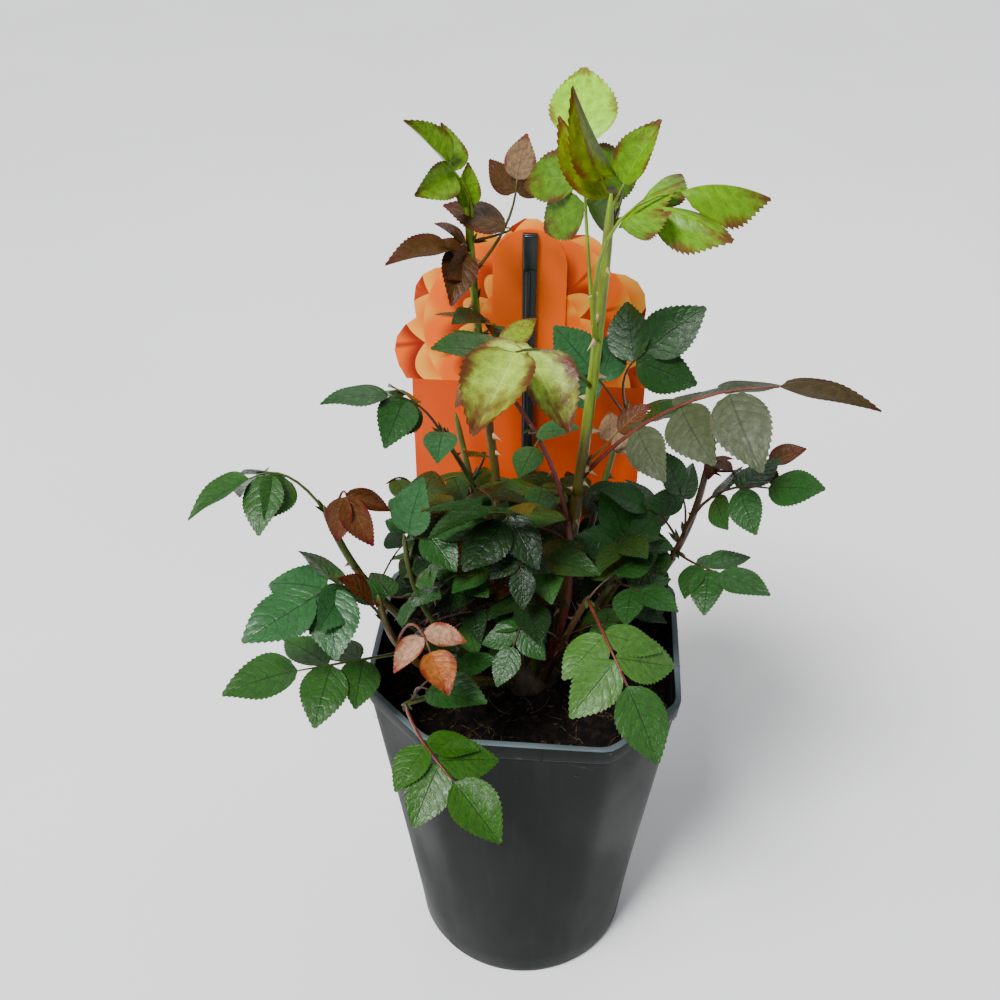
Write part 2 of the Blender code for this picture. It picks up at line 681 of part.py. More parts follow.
def fill_pieces(path: np.ndarray, leaf: Leaf, others: list, own: list, parts) -> list:
    """Pieces of a rule-made leaf, turned aside where that keeps more of its leaflets."""
    best = []
    for turn, lift in FILL_NUDGES:
        moved = replace(leaf, heading=leaf.heading + turn, pitch=leaf.pitch + lift,
                        blade_heading=leaf.blade_heading + turn, blade_pitch=leaf.blade_pitch + lift)
        outward = direction(moved.heading, 0.0) * FILL_OUTWARD
        group = leaf_pieces(path, moved, (outward[0], outward[1], 1.0), others, own, parts, True)
        if len(group) > len(best):
            discard(best)
            best = group
        else:
            discard(group)
        if len(best) > leaf.count:
            break
    return best


def leaf_pieces(path, leaf: Leaf, sun: tuple, others: list, own: list, parts, inside=False) -> list:
    """Pieces of a leaf: its stalk and those of its leaflets that touch nothing else.

    The stalk may cross another stalk of its own mass, where the two leave one node.
    """
    start, _ = along(path, min(leaf.at, LAST_NODE))
    stalk = stalk_path(start, leaf)
    tube = limb("stalk", stalk, STALK_RADIUS, 0, parts)
    blocked = tree_of(others + [obj for obj in own if obj.name.startswith("leaflet")])
    if touches(tube, blocked):
        discard([tube])
        return []
    blocked = tree_of(others + own)
    group = [tube]
    for place in leaflets_of(stalk, leaf, sun):
        blade = leaflet_solid("leaflet", place, parts)
        if touches(blade, blocked) or (inside and not in_space(blade)):
            discard([blade])
        else:
            group.append(blade)
    if len(group) == 1:
        discard(group)
        return []
    return group


def discard(objects: list) -> None:
    """Remove objects that were tried and not kept."""
    for obj in objects:
        bpy.data.objects.remove(obj, do_unlink=True)


def touches(obj: bpy.types.Object, blocked: BVHTree) -> bool:
    """Whether an object meets the blocked faces."""
    return bool(tree_of([obj]).overlap(blocked))


def in_space(obj: bpy.types.Object) -> bool:
    """Whether an object stays in the space of the rule-made leaves."""
    reach, bottom, top = FILL_SPACE
    for vert in obj.data.vertices:
        x, y, z = vert.co / MM
        floor = FILL_FRONT_FLOOR if y < 0 else bottom
        if hypot(x, y) > reach or not floor < z < top:
            return False
    return True


def fuse(group: list) -> None:
    """Join a stem with its stalks and leaflets into one closed body."""
    stem, extra = group[0], group[1:]
    if not extra:
        return
    pieces = bpy.data.collections.new(stem.name + "_pieces")
    bpy.context.scene.collection.children.link(pieces)
    for obj in extra:
        for home in list(obj.users_collection):
            home.objects.unlink(obj)
        pieces.objects.link(obj)
    union = stem.modifiers.new("union", "BOOLEAN")
    union.operation = "UNION"
    union.operand_type = "COLLECTION"
    union.collection = pieces
    union.solver = "EXACT"
    material = stem.data.materials[0]
    apply_modifiers(stem)
    discard(list(pieces.objects))
    bpy.data.collections.remove(pieces)
    keep_largest_body(stem.data)
    stem.data.materials.clear()
    stem.data.materials.append(material)


def keep_largest_body(mesh: bpy.types.Mesh) -> None:
    """Drop loose scraps and the walls of sealed hollows."""
    bm = bmesh.new()
    bm.from_mesh(mesh)
    bodies = []
    left = set(bm.verts)
    while left:
        body = {left.pop()}
        edge = list(body)
        while edge:
            for link in edge.pop().link_edges:
                for vert in link.verts:
                    if vert in left:
                        left.remove(vert)
                        body.add(vert)
                        edge.append(vert)
        bodies.append(body)
    bodies.sort(key=len, reverse=True)
    extra = [vert for body in bodies[1:] for vert in body]
    bmesh.ops.delete(bm, geom=extra, context="VERTS")
    bmesh.ops.triangulate(bm, faces=bm.faces)
    bm.to_mesh(mesh)
    bm.free()


main()
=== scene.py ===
"""Looks of a potted rose bush: finishes, leaves, canes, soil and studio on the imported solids.

Tables hold millimetres and degrees; MM turns them into metres. Headings are seen from
above: 0 is +X and 90 is +Y.
"""

import logging
from collections.abc import Iterator
from contextlib import contextmanager
from dataclasses import dataclass, replace
from enum import Enum
from math import atan2, cos, hypot, pi, radians, sin
from random import Random

import bpy
import numpy as np
from mathutils import Matrix, Vector, noise
from mathutils.bvhtree import BVHTree


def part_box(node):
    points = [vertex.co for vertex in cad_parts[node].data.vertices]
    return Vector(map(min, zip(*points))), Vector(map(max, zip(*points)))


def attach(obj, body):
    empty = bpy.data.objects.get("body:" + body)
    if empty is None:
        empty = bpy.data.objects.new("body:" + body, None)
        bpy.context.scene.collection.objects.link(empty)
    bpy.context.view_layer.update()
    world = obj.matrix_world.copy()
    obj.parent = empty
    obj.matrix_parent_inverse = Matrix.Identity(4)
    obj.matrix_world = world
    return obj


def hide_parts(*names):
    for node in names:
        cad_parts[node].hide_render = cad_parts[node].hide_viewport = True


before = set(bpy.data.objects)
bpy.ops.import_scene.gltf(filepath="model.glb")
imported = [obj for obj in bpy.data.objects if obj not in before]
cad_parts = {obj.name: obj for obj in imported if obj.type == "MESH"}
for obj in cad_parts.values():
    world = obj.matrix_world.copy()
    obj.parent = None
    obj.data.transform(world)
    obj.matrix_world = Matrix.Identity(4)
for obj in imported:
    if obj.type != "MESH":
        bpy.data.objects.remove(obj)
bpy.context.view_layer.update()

MM = 0.001
BODY = "root"
log = logging.getLogger("rose_bush")

Colour = Point = tuple[float, float, float]
Faces = list[tuple[int, ...]]


# --- tables of the plant -----------------------------------------------------------


class Tone(Enum):
    """Colours that leaves come in."""
    LIME = "lime"
    FRESH_LIME = "fresh_lime"
    LIME_BROWN = "lime_brown"
    YOUNG = "young"
    TWO_TONE = "two_tone"
    OLIVE = "olive"
    LIGHT = "light"
    FRESH = "fresh"
    MID = "mid"
    DARK = "dark"
    DEEP = "deep"
    BLUE = "blue"
    GREY = "grey"
    BRONZE = "bronze"
    DUSK = "dusk"
    TAN = "tan"
    RED = "red"
    PINK = "pink"
    PEACH = "peach"


class Bark(Enum):
    """Colours that canes and stalks come in."""
    OLD = "old"
    OLIVE = "olive"
    GREEN = "green"
    LIME = "lime"
    RED = "red"
    WINE = "wine"
    BROWN = "brown"
    STRAW = "straw"


@dataclass(frozen=True)
class Leaf:
    """One compound leaf: where it leaves the shoot, its stalk, then its end leaflet."""
    at: float
    heading: float
    pitch: float
    reach: float
    blade_heading: float
    blade_pitch: float
    count: int
    size: float
    tone: Tone = Tone.DARK
    roll: float = 0.0
    spacing: float = 0.22
    droop: float = 0.0
    fold: float = 1.0
    side_tone: Tone | None = None
    tip_fold: float | None = None
    broad: float = 1.0
    tip_broad: float = 1.0
    extra: bool = False
    low_sun: bool = True
    curl: float = 0.0
    pair_drop: float = 0.0
    pair_roll: float = 0.0


@dataclass(frozen=True)
class Shoot:
    """One stem: its direction turns evenly by curl (pitch) and swing (heading)."""
    name: str
    foot: tuple[float, float]
    heading: float
    rise: float
    length: float
    curl: float
    swing: float
    radii: tuple[float, float]
    bare: float
    fill: int
    bark: Bark
    stem: Bark
    leaves: tuple[Leaf, ...] = ()

    @property
    def mass(self) -> str:
        """The name of the node of its leaves."""
        return self.name + "_leaves"

    def radius(self, share: float) -> float:
        """Its plain radius at a share of its length."""
        return self.radii[0] + (self.radii[1] - self.radii[0]) * share


T, B = Tone, Bark
SHOOTS = (
    Shoot("main_cane", (18, 5), -45, 85, 340, -8, -43, (4.0, 2.4), 0.42, 0, B.OLIVE, B.LIME, (
        Leaf(0.45, -20, 40, 135, -15, 10, 7, 50, T.DUSK, 5, 0.22, 0.25, 1.0, T.GREY, 1.2, tip_broad=0.5,
             extra=True, low_sun=False, curl=0.08),
        Leaf(0.48, 10, 49, 30, 20, 49, 3, 23, T.RED, side_tone=T.TAN),
        Leaf(0.65, -110, 35, 124, -105, 20, 5, 46, T.TWO_TONE, 0, 0.14, 0.8, 1.7, broad=1.15, pair_roll=-42),
        Leaf(0.72, 112, 73, 104, 95, 45, 5, 42, T.LIME, 0, 0.15, 0, 1.3, T.LIME_BROWN, 0.7, 1.12,
             extra=True, low_sun=False, curl=0.22, pair_drop=0.9),
        Leaf(0.97, 66, 31, 17, -55, 60, 1, 34, T.FRESH_LIME, -15, fold=1.8),
        Leaf(0.94, 79, 64, 26, -150, 35, 1, 46, T.OLIVE, 50, fold=5.0, broad=1.1, extra=True, curl=0.10),
        Leaf(0.93, 95, 60, 18, 180, 42, 1, 44, T.OLIVE, 30, fold=5.0, broad=1.1, extra=True, curl=0.06),
        Leaf(0.73, -47, 64, 109, 22, -2, 5, 38, T.FRESH_LIME, -2, 0.20, -0.02, -2.4, broad=1.2,
             extra=True, low_sun=False, curl=0.62, pair_drop=-1.0),
    )),
    Shoot("tall_left", (-6, 21), 135, 78, 300, 9, 40, (3.0, 2.2), 0.66, 0, B.OLIVE, B.LIME, (
        Leaf(0.91, -145, 75, 50, -160, 40, 3, 35, T.YOUNG, 15, 0.12, 0, 2.2),
        Leaf(0.97, -35, 85, 6, -115, 80, 1, 25, T.YOUNG, fold=3.0),
        Leaf(0.965, -160, 80, 7, -165, 72, 1, 24, T.YOUNG, fold=3.0, extra=True),
        Leaf(0.86, -25, 65, 65, -80, 80, 3, 24, T.TAN, 0, 0.12, 0, 0.9, T.BRONZE, extra=True, curl=0.15),
        Leaf(0.80, -135, 65, 40, -150, -5, 5, 37, T.BRONZE, 0, 0.18, 0.15, 1.8, extra=True,
             low_sun=False, curl=0.2),
        Leaf(0.92, 0, 25, 22, 180, 0, 1, 36, T.BRONZE, fold=0.4, extra=True, low_sun=False),
        Leaf(0.73, -60, 45, 20, -145, 10, 3, 36, T.DARK, fold=1.4),
    )),
    Shoot("red_stem", (10, -6), -28, 68, 232, 58, 54, (2.3, 1.1), 0.55, 0, B.WINE, B.WINE, (
        Leaf(0.95, -160, 70, 30, -145, 5, 3, 37, T.MID),
        Leaf(0.97, 108, 59, 22, 25, 15, 1, 26, T.OLIVE),
        Leaf(0.80, -95, 25, 25, -115, -25, 1, 24, T.MID),
        Leaf(0.84, -80, 25, 16, 0, 15, 1, 26, T.BLUE),
    )),
    Shoot("right_cane", (26, 0), 10, 46, 193, 40, -60, (3.0, 1.9), 0.60, 1, B.OLIVE, B.BROWN, (
        Leaf(0.95, -15, 65, 11, -60, -10, 3, 14, T.RED),
        Leaf(0.97, 10, 5, 35, 0, 35, 3, 22, T.RED, fold=1.8),
        Leaf(0.68, -45, 51, 85, -30, 11, 5, 33, T.DARK, -15, 0.25),
        Leaf(0.63, -55, 15, 40, -30, 5, 5, 32, T.DARK),
        Leaf(0.70, 100, 50, 25, -160, 60, 3, 28, T.DARK),
        Leaf(0.66, 165, 45, 30, -155, 25, 3, 33, T.DARK),
    )),
    Shoot("left_cane", (-18, -4), -150, 35, 197, 43, 2, (2.8, 2.1), 0.75, 0, B.OLIVE, B.GREEN, (
        Leaf(0.97, -155, 40, 50, -155, -25, 5, 38, T.MID, -20, 0.22, 0.25, 1.0, extra=True, low_sun=False,
             curl=0.12),
        Leaf(0.92, -15, 65, 25, -60, -60, 3, 30, T.RED, 0, 0.1, 0.5, 2.2, extra=True, curl=0.1),
    )),
    Shoot("left_stem", (-14, -18), -149, 20, 150, 65, 25, (2.8, 2.0), 0.50, 0, B.OLIVE, B.OLIVE, (
        Leaf(0.85, -150, 40, 50, -135, -35, 5, 45, T.BLUE),
        Leaf(0.62, -150, 10, 65, -160, 0, 5, 43, T.MID, -5, 0.30),
        Leaf(0.95, -125, 48, 8, -155, 58, 1, 29, T.RED, fold=1.8),
        Leaf(0.70, -60, 35, 65, -60, -40, 3, 27, T.PEACH, 0, 0.22, 0, 2.0, T.PINK, 1.6, 1.1),
    )),
    Shoot("left_twig", (-9, -9), -144, 36, 165, 53, 6, (2.2, 1.4), 0.50, 2, B.GREEN, B.GREEN, (
        Leaf(0.97, -15, 65, 6, 90, 80, 1, 36, T.BLUE, broad=1.1),
        Leaf(0.65, -95, 50, 25, -25, 25, 3, 25, T.DARK),
        Leaf(0.72, -148, 15, 19, -178, 20, 3, 27, T.DARK),
        Leaf(0.92, 10, 45, 20, 10, -10, 3, 32, T.DARK),
    )),
    Shoot("middle_left", (-4, 4), -131, 86, 209, -26, -8, (2.2, 1.3), 0.60, 1, B.GREEN, B.GREEN, (
        Leaf(0.97, -170, 45, 40, -155, 10, 5, 36, T.DARK, -16, 0.22, 0.15, 1.0, extra=True, low_sun=False,
             curl=0.12),
        Leaf(0.95, -96, 53, 17, -90, -20, 1, 27, T.BLUE),
        Leaf(0.78, -45, 70, 25, -115, 10, 1, 20, T.DARK),
    )),
    Shoot("centre_twig", (0, -12), -118, 79, 155, 0, 26, (2.2, 1.4), 0.55, 1, B.GREEN, B.GREEN, (
        Leaf(1.00, -110, 35, 40, -150, 20, 3, 46, T.MID, -50, fold=1.6),
        Leaf(0.97, -105, 20, 15, -135, -40, 3, 37, T.DEEP),
        Leaf(0.98, -39, 29, 6, -9, 4, 1, 27, T.MID, 14, fold=0.3),
    )),
    Shoot("front_left", (-8, -20), -122, 39, 107, -23, -12, (2.2, 1.6), 0.45, 0, B.GREEN, B.GREEN, (
        Leaf(1.00, -60, 5, 70, -30, -35, 5, 39, T.FRESH),
        Leaf(0.90, -50, 55, 25, -25, 0, 1, 40, T.DARK, fold=1.3),
    )),
    Shoot("front_right", (12, -16), -66, 65, 126, -2, 5, (2.4, 1.8), 0.55, 0, B.BROWN, B.BROWN, (
        Leaf(0.97, -70, -5, 65, -45, -50, 5, 42, T.MID, 0, 0.27, side_tone=T.LIGHT),
    )),
    Shoot("right_twig", (22, -4), -41, 73, 122, -11, 14, (2.2, 1.6), 0.50, 1, B.GREEN, B.GREEN, (
        Leaf(1.00, -135, 65, 20, -45, -5, 3, 29, T.DARK),
        Leaf(0.78, -60, 30, 35, -35, 0, 3, 28, T.DARK),
        Leaf(0.93, 90, 18, 19, 180, 65, 3, 36, T.DARK),
    )),
    Shoot("front_twig", (6, -16), -90, 80, 116, -8, 10, (2.2, 1.6), 0.45, 0, B.GREEN, B.GREEN, (
        Leaf(0.97, 50, 65, 9, -40, -20, 3, 33, T.MID),
        Leaf(0.80, -105, -5, 45, -110, -40, 5, 24, T.DARK),
    )),
    Shoot("back_right", (16, 18), 37, 73, 177, -1, 10, (2.6, 1.8), 0.50, 4, B.OLIVE, B.GREEN, (
        Leaf(0.97, -45, 75, 45, 10, 30, 3, 42, T.DARK, -35, broad=1.1),
        Leaf(0.95, -155, 56, 40, 150, 41, 3, 36, T.BLUE, 35),
        Leaf(0.85, -60, 50, 50, -40, 20, 3, 32, T.DARK),
    )),
    Shoot("back_left", (-14, 18), 137, 73, 162, -5, -8, (2.6, 1.8), 0.50, 4, B.OLIVE, B.GREEN),
    Shoot("low_right", (24, 12), 22, 48, 130, 25, 15, (2.4, 1.6), 0.45, 6, B.OLIVE, B.GREEN),
    Shoot("low_left", (-20, 10), 158, 48, 130, 25, -15, (2.4, 1.6), 0.45, 6, B.OLIVE, B.GREEN),
)


# --- small helpers -----------------------------------------------------------------


def deselect() -> None:
    """Leave edit mode and deselect everything."""
    if bpy.context.object is not None and bpy.context.object.mode != "OBJECT":
        bpy.ops.object.mode_set(mode="OBJECT")
    bpy.ops.object.select_all(action="DESELECT")


def activate(obj: bpy.types.Object) -> None:
    """Select one object alone and make it active."""
    deselect()
    obj.select_set(True)
    bpy.context.view_layer.objects.active = obj


def take_active(name: str) -> bpy.types.Object:
    """Name the object that an operator has just added, and its mesh, and return it."""
    obj = bpy.context.object
    obj.name = obj.data.name = name
    return obj


@contextmanager
def editing(obj: bpy.types.Object) -> Iterator[None]:
    """Hold an object in edit mode, with all of its mesh selected at the start.

    Args:
        obj: the object.

    Returns:
        The context of a with statement.
    """
    activate(obj)
    bpy.ops.object.mode_set(mode="EDIT")
    bpy.ops.mesh.select_all(action="SELECT")
    yield
    bpy.ops.object.mode_set(mode="OBJECT")


def start_cube(name: str, size: Point = (1.0, 1.0, 1.0)) -> bpy.types.Object:
    """Add a cube with its middle at the origin.

    Args:
        name: the new object's name.
        size: the length of its sides.

    Returns:
        The cube.
    """
    deselect()
    bpy.ops.mesh.primitive_cube_add(size=1.0)
    obj = take_active(name)
    for vert in obj.data.vertices:
        vert.co = Vector([co * span for co, span in zip(vert.co, size)])
    return obj


def start_rings(name: str, rings: int, sides: int) -> bpy.types.Object:
    """A closed stack of rings, one unit apart, made by extruding a filled circle.

    Args:
        name: the new object's name.
        rings: how many rings it has.
        sides: how many corners each ring has.

    Returns:
        The object, whose corners hold their ring in Z and their angle in X and Y.
    """
    deselect()
    bpy.ops.mesh.primitive_circle_add(vertices=sides, radius=1.0, fill_type="NGON")
    obj = take_active(name)
    with editing(obj):
        for _ in range(rings - 1):
            bpy.ops.mesh.extrude_region_move(TRANSFORM_OT_translate={"value": (0, 0, 1)})
    return obj


def mend(obj: bpy.types.Object, merge: float = 1e-6) -> None:
    """Merge an object's corners closer than some metres and turn its faces outwards."""
    with editing(obj):
        bpy.ops.mesh.remove_doubles(threshold=merge)
        bpy.ops.mesh.normals_make_consistent(inside=False)


def smooth(obj: bpy.types.Object, angle: float) -> None:
    """Shade an object smooth, apart from edges sharper than an angle in degrees."""
    activate(obj)
    bpy.ops.object.shade_smooth_by_angle(angle=radians(angle))


def dress(obj: bpy.types.Object, material: bpy.types.Material, slot: str, *nodes: str) -> None:
    """Give a finished piece its material and body, and hide what it stands for.

    Args:
        obj: the piece.
        material: its only material.
        slot: not used.
        nodes: the CAD nodes that it replaces.
    """
    obj.data.materials.clear()
    obj.data.materials.append(material)
    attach(obj, BODY)
    if nodes:
        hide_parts(*nodes)
    log.info("%s: %d faces", obj.name, len(obj.data.polygons))


# --- finishes ------------------------------------------------------------------------


class Wire:
    """A value that runs from node to node of a material, and can be reckoned with."""

    def __init__(self, graph: "Graph", socket: bpy.types.NodeSocket) -> None:
        """Hold one output of a graph's nodes."""
        self.graph, self.socket = graph, socket

    def __add__(self, other: object) -> "Wire":
        """This and another value."""
        return self.graph.math("ADD", self, other)

    def __sub__(self, other: object) -> "Wire":
        """This less another value."""
        return self.graph.math("SUBTRACT", self, other)

    def __rsub__(self, other: object) -> "Wire":
        """Another value less this."""
        return self.graph.math("SUBTRACT", other, self)

    def __mul__(self, other: object) -> "Wire":
        """This times another value."""
        return self.graph.math("MULTIPLY", self, other)

    def size(self) -> "Wire":
        """This without its sign."""
        return self.graph.math("ABSOLUTE", self)


class Graph:
    """A material's node tree, with short calls that add and join its nodes."""

    def __init__(self, name: str, roughness: float, specular: float = 0.5) -> None:
        """Start a material with a plain Principled shader.

        Args:
            name: the material's name.
            roughness: the shader's own roughness.
            specular: the shader's own specular level.
        """
        self.material = bpy.data.materials.new(name)
        self.material.use_nodes = True
        self.tree = self.material.node_tree
        self.shader = self.tree.nodes["Principled BSDF"]
        self.shader.inputs["Roughness"].default_value = roughness
        self.shader.inputs["Specular IOR Level"].default_value = specular

    def add(self, kind: str, inputs: dict[int | str, object], output: int | str = 0,
            **settings: object) -> Wire:
        """Add a node.

        Args:
            kind: its kind.
            inputs: a number, colour or wire for each input that is set.
            output: the output that is used.
            settings: its other properties.

        Returns:
            The output.
        """
        node = self.tree.nodes.new("ShaderNode" + kind)
        for key, value in settings.items():
            setattr(node, key, value)
        for key, value in inputs.items():
            self.put(node.inputs[key], value)
        return Wire(self, node.outputs[output])

    def put(self, socket: bpy.types.NodeSocket, value: object) -> None:
        """Link a wire to a socket, or set the socket's own value.

        Args:
            socket: the input.
            value: a wire, a number or a colour.
        """
        if isinstance(value, Wire):
            self.tree.links.new(value.socket, socket)
        elif socket.type == "RGBA":
            socket.default_value = (*value, 1.0)
        else:
            socket.default_value = value

    def math(self, operation: str, *values: object) -> Wire:
        """Reckon with one or two values."""
        return self.add("Math", dict(enumerate(values)), operation=operation)

    def place(self, source: str = "Object", stretch: Point = (1, 1, 1)) -> Wire:
        """Coordinates of the piece, stretched along its axes."""
        return self.add("Mapping", {"Vector": self.add("TexCoord", {}, source), "Scale": stretch})

    def split(self, vector: Wire) -> list[Wire]:
        """The three parts of a vector."""
        node = self.add("SeparateXYZ", {0: vector}).socket.node
        return [Wire(self, output) for output in node.outputs]

    def noise(self, stretch: Point, detail: float, low: float = 0.35, high: float = 0.65,
              scale: float = 1.0, source: str = "Object") -> Wire:
        """Noise spread to run from 0 to 1.

        Args:
            stretch: how often it repeats along each axis.
            detail: its detail.
            low: the noise value that gives 0.
            high: the noise value that gives 1.
            scale: its scale over all.
            source: the coordinates that it is made on.

        Returns:
            The spread value.
        """
        inputs = {"Vector": self.place(source, stretch), "Scale": scale, "Detail": detail}
        return self.spread(self.add("TexNoise", inputs), low, high)

    def spread(self, value: Wire, low: float, high: float) -> Wire:
        """Turn a range of a value into a smooth step from 0 to 1."""
        return self.add("MapRange", {"Value": value, "From Min": low, "From Max": high},
                        interpolation_type="SMOOTHSTEP")

    def mix(self, factor: object, first: object, second: object) -> Wire:
        """Blend two colours by a factor."""
        return self.add("Mix", {0: factor, 6: first, 7: second}, 2, data_type="RGBA")

    def finish(self, colour: Wire, height: Wire | None = None, strength: float = 0.0, depth: float = 0.0,
               roughness: Wire | None = None) -> bpy.types.Material:
        """Join the last values to the shader.

        Args:
            colour: the base colour.
            height: the bump's height, where there is one.
            strength: the bump's strength.
            depth: the bump's depth in millimetres.
            roughness: the roughness, where it varies.

        Returns:
            The material.
        """
        self.put(self.shader.inputs["Base Color"], colour)
        if roughness:
            self.put(self.shader.inputs["Roughness"], roughness)
        if height:
            bump = self.add("Bump", {"Strength": strength, "Distance": depth * MM, "Height": height})
            self.put(self.shader.inputs["Normal"], bump)
        return self.material


def shade(colour: Colour, share: float) -> Colour:
    """A colour with its channels multiplied by a share."""
    return tuple(channel * share for channel in colour)


@dataclass(frozen=True)
class LeafFinish:
    """A leaf's skin: blade, veins and edge, drawn along its own UV map.

    A young leaf has pale veins and a blush that runs in from its edge; a grown one has dark veins.
    """
    blade: Colour
    vein: Colour
    edge: Colour
    gloss: float = 0.38
    blush: float = 0.0
    young: bool = False
    pairs: float = 7.0
    rib_width: tuple[float, float] = (0.012, 0.055)
    vein_width: float = 0.070
    vein_bend: float = 0.26
    mottling: float = 0.85

    def build(self, name: str) -> bpy.types.Material:
        """Make the material.

        Args:
            name: its name.

        Returns:
            The material.
        """
        graph = Graph(name, self.gloss, 0.24 if self.young else 0.32)
        along_blade, across, _ = graph.split(graph.place("UV"))
        side = (across - 0.5).size() * 2.0
        rib = 1.0 - graph.spread(side, *self.rib_width)
        wander = graph.noise((5, 7, 1), 2.0, 0.0, 1.0, source="UV")
        slant = along_blade - graph.math("POWER", side, 1.25) * self.vein_bend + wander * 0.09
        wave = graph.math("PINGPONG", slant * self.pairs, 0.5)
        line = 1.0 - graph.spread(wave, 0.0, self.vein_width)
        veins = graph.math("MAXIMUM", rib * 0.9, line * (1.0 - side * 0.70))
        mottle = graph.noise((7, 5, 1), 5.0, scale=1.3, source="UV")
        cells = graph.noise((60, 34, 1), 3.0, source="UV")
        colour = graph.mix(mottle * self.mottling, self.blade, shade(self.blade, 0.62))
        colour = graph.mix(cells * 0.20, colour, self.vein)
        if self.young:
            colour = graph.mix(veins * 0.50, colour, self.vein)
        else:
            colour = graph.mix(veins * 0.80, colour, shade(self.blade, 0.34))
        colour = graph.mix(self.rim(graph, along_blade, side, mottle), colour, self.edge)
        swell = graph.spread(wave, 0.0, 0.30) - rib * 0.9 + cells * 0.30 + mottle * 1.2
        return graph.finish(colour, swell, 0.60, 0.18, mottle * 0.14 + (self.gloss - 0.05))

    def rim(self, graph: Graph, along_blade: Wire, side: Wire, mottle: Wire) -> Wire:
        """Where the edge's colour lies.

        Args:
            graph: the material's nodes.
            along_blade: the way from root to tip.
            side: the way out from the rib.
            mottle: the blade's mottling, which roughens a blush.

        Returns:
            Its share, from 0 to 1.
        """
        if not self.blush:
            return graph.spread(side, 0.93, 1.0)
        ragged = graph.noise((3.5, 2.5, 1), 2.0, source="UV") * 0.22 + mottle * 0.08
        edge = graph.spread(side + ragged, 0.95 - self.blush, 1.22 - 0.3 * self.blush)
        tip = graph.spread(along_blade + ragged, 0.92 - 1.3 * self.blush, 1.20 - 0.3 * self.blush)
        return graph.math("MAXIMUM", edge, tip)


@dataclass(frozen=True)
class BarkFinish:
    """A cane's skin: two colours in streaks along it, with small raised specks.

    Where it has a low colour, the base turns to that colour down the plant.
    """
    base: Colour
    streak: Colour
    gloss: float = 0.42
    rough: float = 0.35
    low: Colour | None = None
    fade: tuple[float, float] = (0.40, 0.47)

    def build(self, name: str) -> bpy.types.Material:
        """Make the material.

        Args:
            name: its name.

        Returns:
            The material.
        """
        graph = Graph(name, self.gloss, 0.4)
        streaks = graph.noise((260, 260, 34), 4.0)
        specks = graph.noise((900, 900, 500), 2.0, 0.55, 0.7)
        blotch = graph.noise((40, 40, 22), 3.0)
        base: object = self.base
        if self.low:
            height = graph.split(graph.place())[2] + blotch * 0.02
            base = graph.mix(graph.spread(height, *self.fade), self.low, self.base)
        colour = graph.mix(streaks * blotch, base, self.streak)
        colour = graph.mix(specks * 0.35, colour, self.streak)
        return graph.finish(colour, streaks + specks * 0.6, self.rough, 0.4)


@dataclass(frozen=True)
class PotFinish:
    """Dark moulded plastic with scuffs and dust, and painted highlights along ledges given by (bottom, top,
    share).
    """
    body: Colour = (0.0048, 0.0068, 0.0058)
    # pale colour of dust and scuffs, also used for the painted highlights along the ledges
    dust_and_highlight: Colour = (0.12, 0.155, 0.17)
    highlight_ledges: tuple[Point, ...] = ((255.0, 256.5, 0.9), (243.6, 244.8, 0.5), (3.6, 5.4, 0.5))
    scuffed: tuple[float, float] = (0.225, 0.256)

    def build(self, name: str) -> bpy.types.Material:
        """Make the material.

        Args:
            name: its name.

        Returns:
            The material.
        """
        graph = Graph(name, 0.5, 0.10)
        height = graph.split(graph.place())[2]
        cloudy = graph.noise((14, 14, 9), 4.0)
        drips = graph.noise((120, 120, 7), 5.0, 0.5, 0.75)
        grain = graph.noise((1500, 1500, 1500), 2.0, 0.3, 0.7)
        scuff = graph.noise((70, 70, 160), 6.0, 0.62, 0.74) * graph.spread(height, *self.scuffed)
        colour = graph.mix(cloudy * 0.35, self.body, shade(self.body, 1.9))
        colour = graph.mix(drips * 0.025, colour, self.dust_and_highlight)
        colour = graph.mix(scuff * 0.5, colour, self.dust_and_highlight)
        # painted highlights: pale lines along the rim's top and the steps of the band and foot
        for bottom, top, share in self.highlight_ledges:
            middle, half = (bottom + top) / 2 * MM, (top - bottom) / 2 * MM
            painted_highlight = 1.0 - graph.spread((height - middle).size(), half * 0.6, half)
            colour = graph.mix(painted_highlight * (cloudy * 0.4 + 0.6) * share, colour, self.dust_and_highlight)
        return graph.finish(colour, grain, 0.12, 0.15, cloudy * 0.16 + 0.42)


@dataclass(frozen=True)
class EarthFinish:
    """Moist crumbly potting mix, or the bits of bark in it."""
    wet: Colour
    dry: Colour
    scale: float = 500.0

    def build(self, name: str) -> bpy.types.Material:
        """Make the material.

        Args:
            name: its name.

        Returns:
            The material.
        """
        graph = Graph(name, 0.85, 0.15)
        coarse = graph.noise((1, 1, 1), 6.0, 0.40, 0.70, self.scale)
        fine = graph.noise((1, 1, 1), 4.0, scale=self.scale * 5)
        return graph.finish(graph.mix(coarse, self.wet, self.dry), coarse + fine * 0.5, 0.8, 0.9)


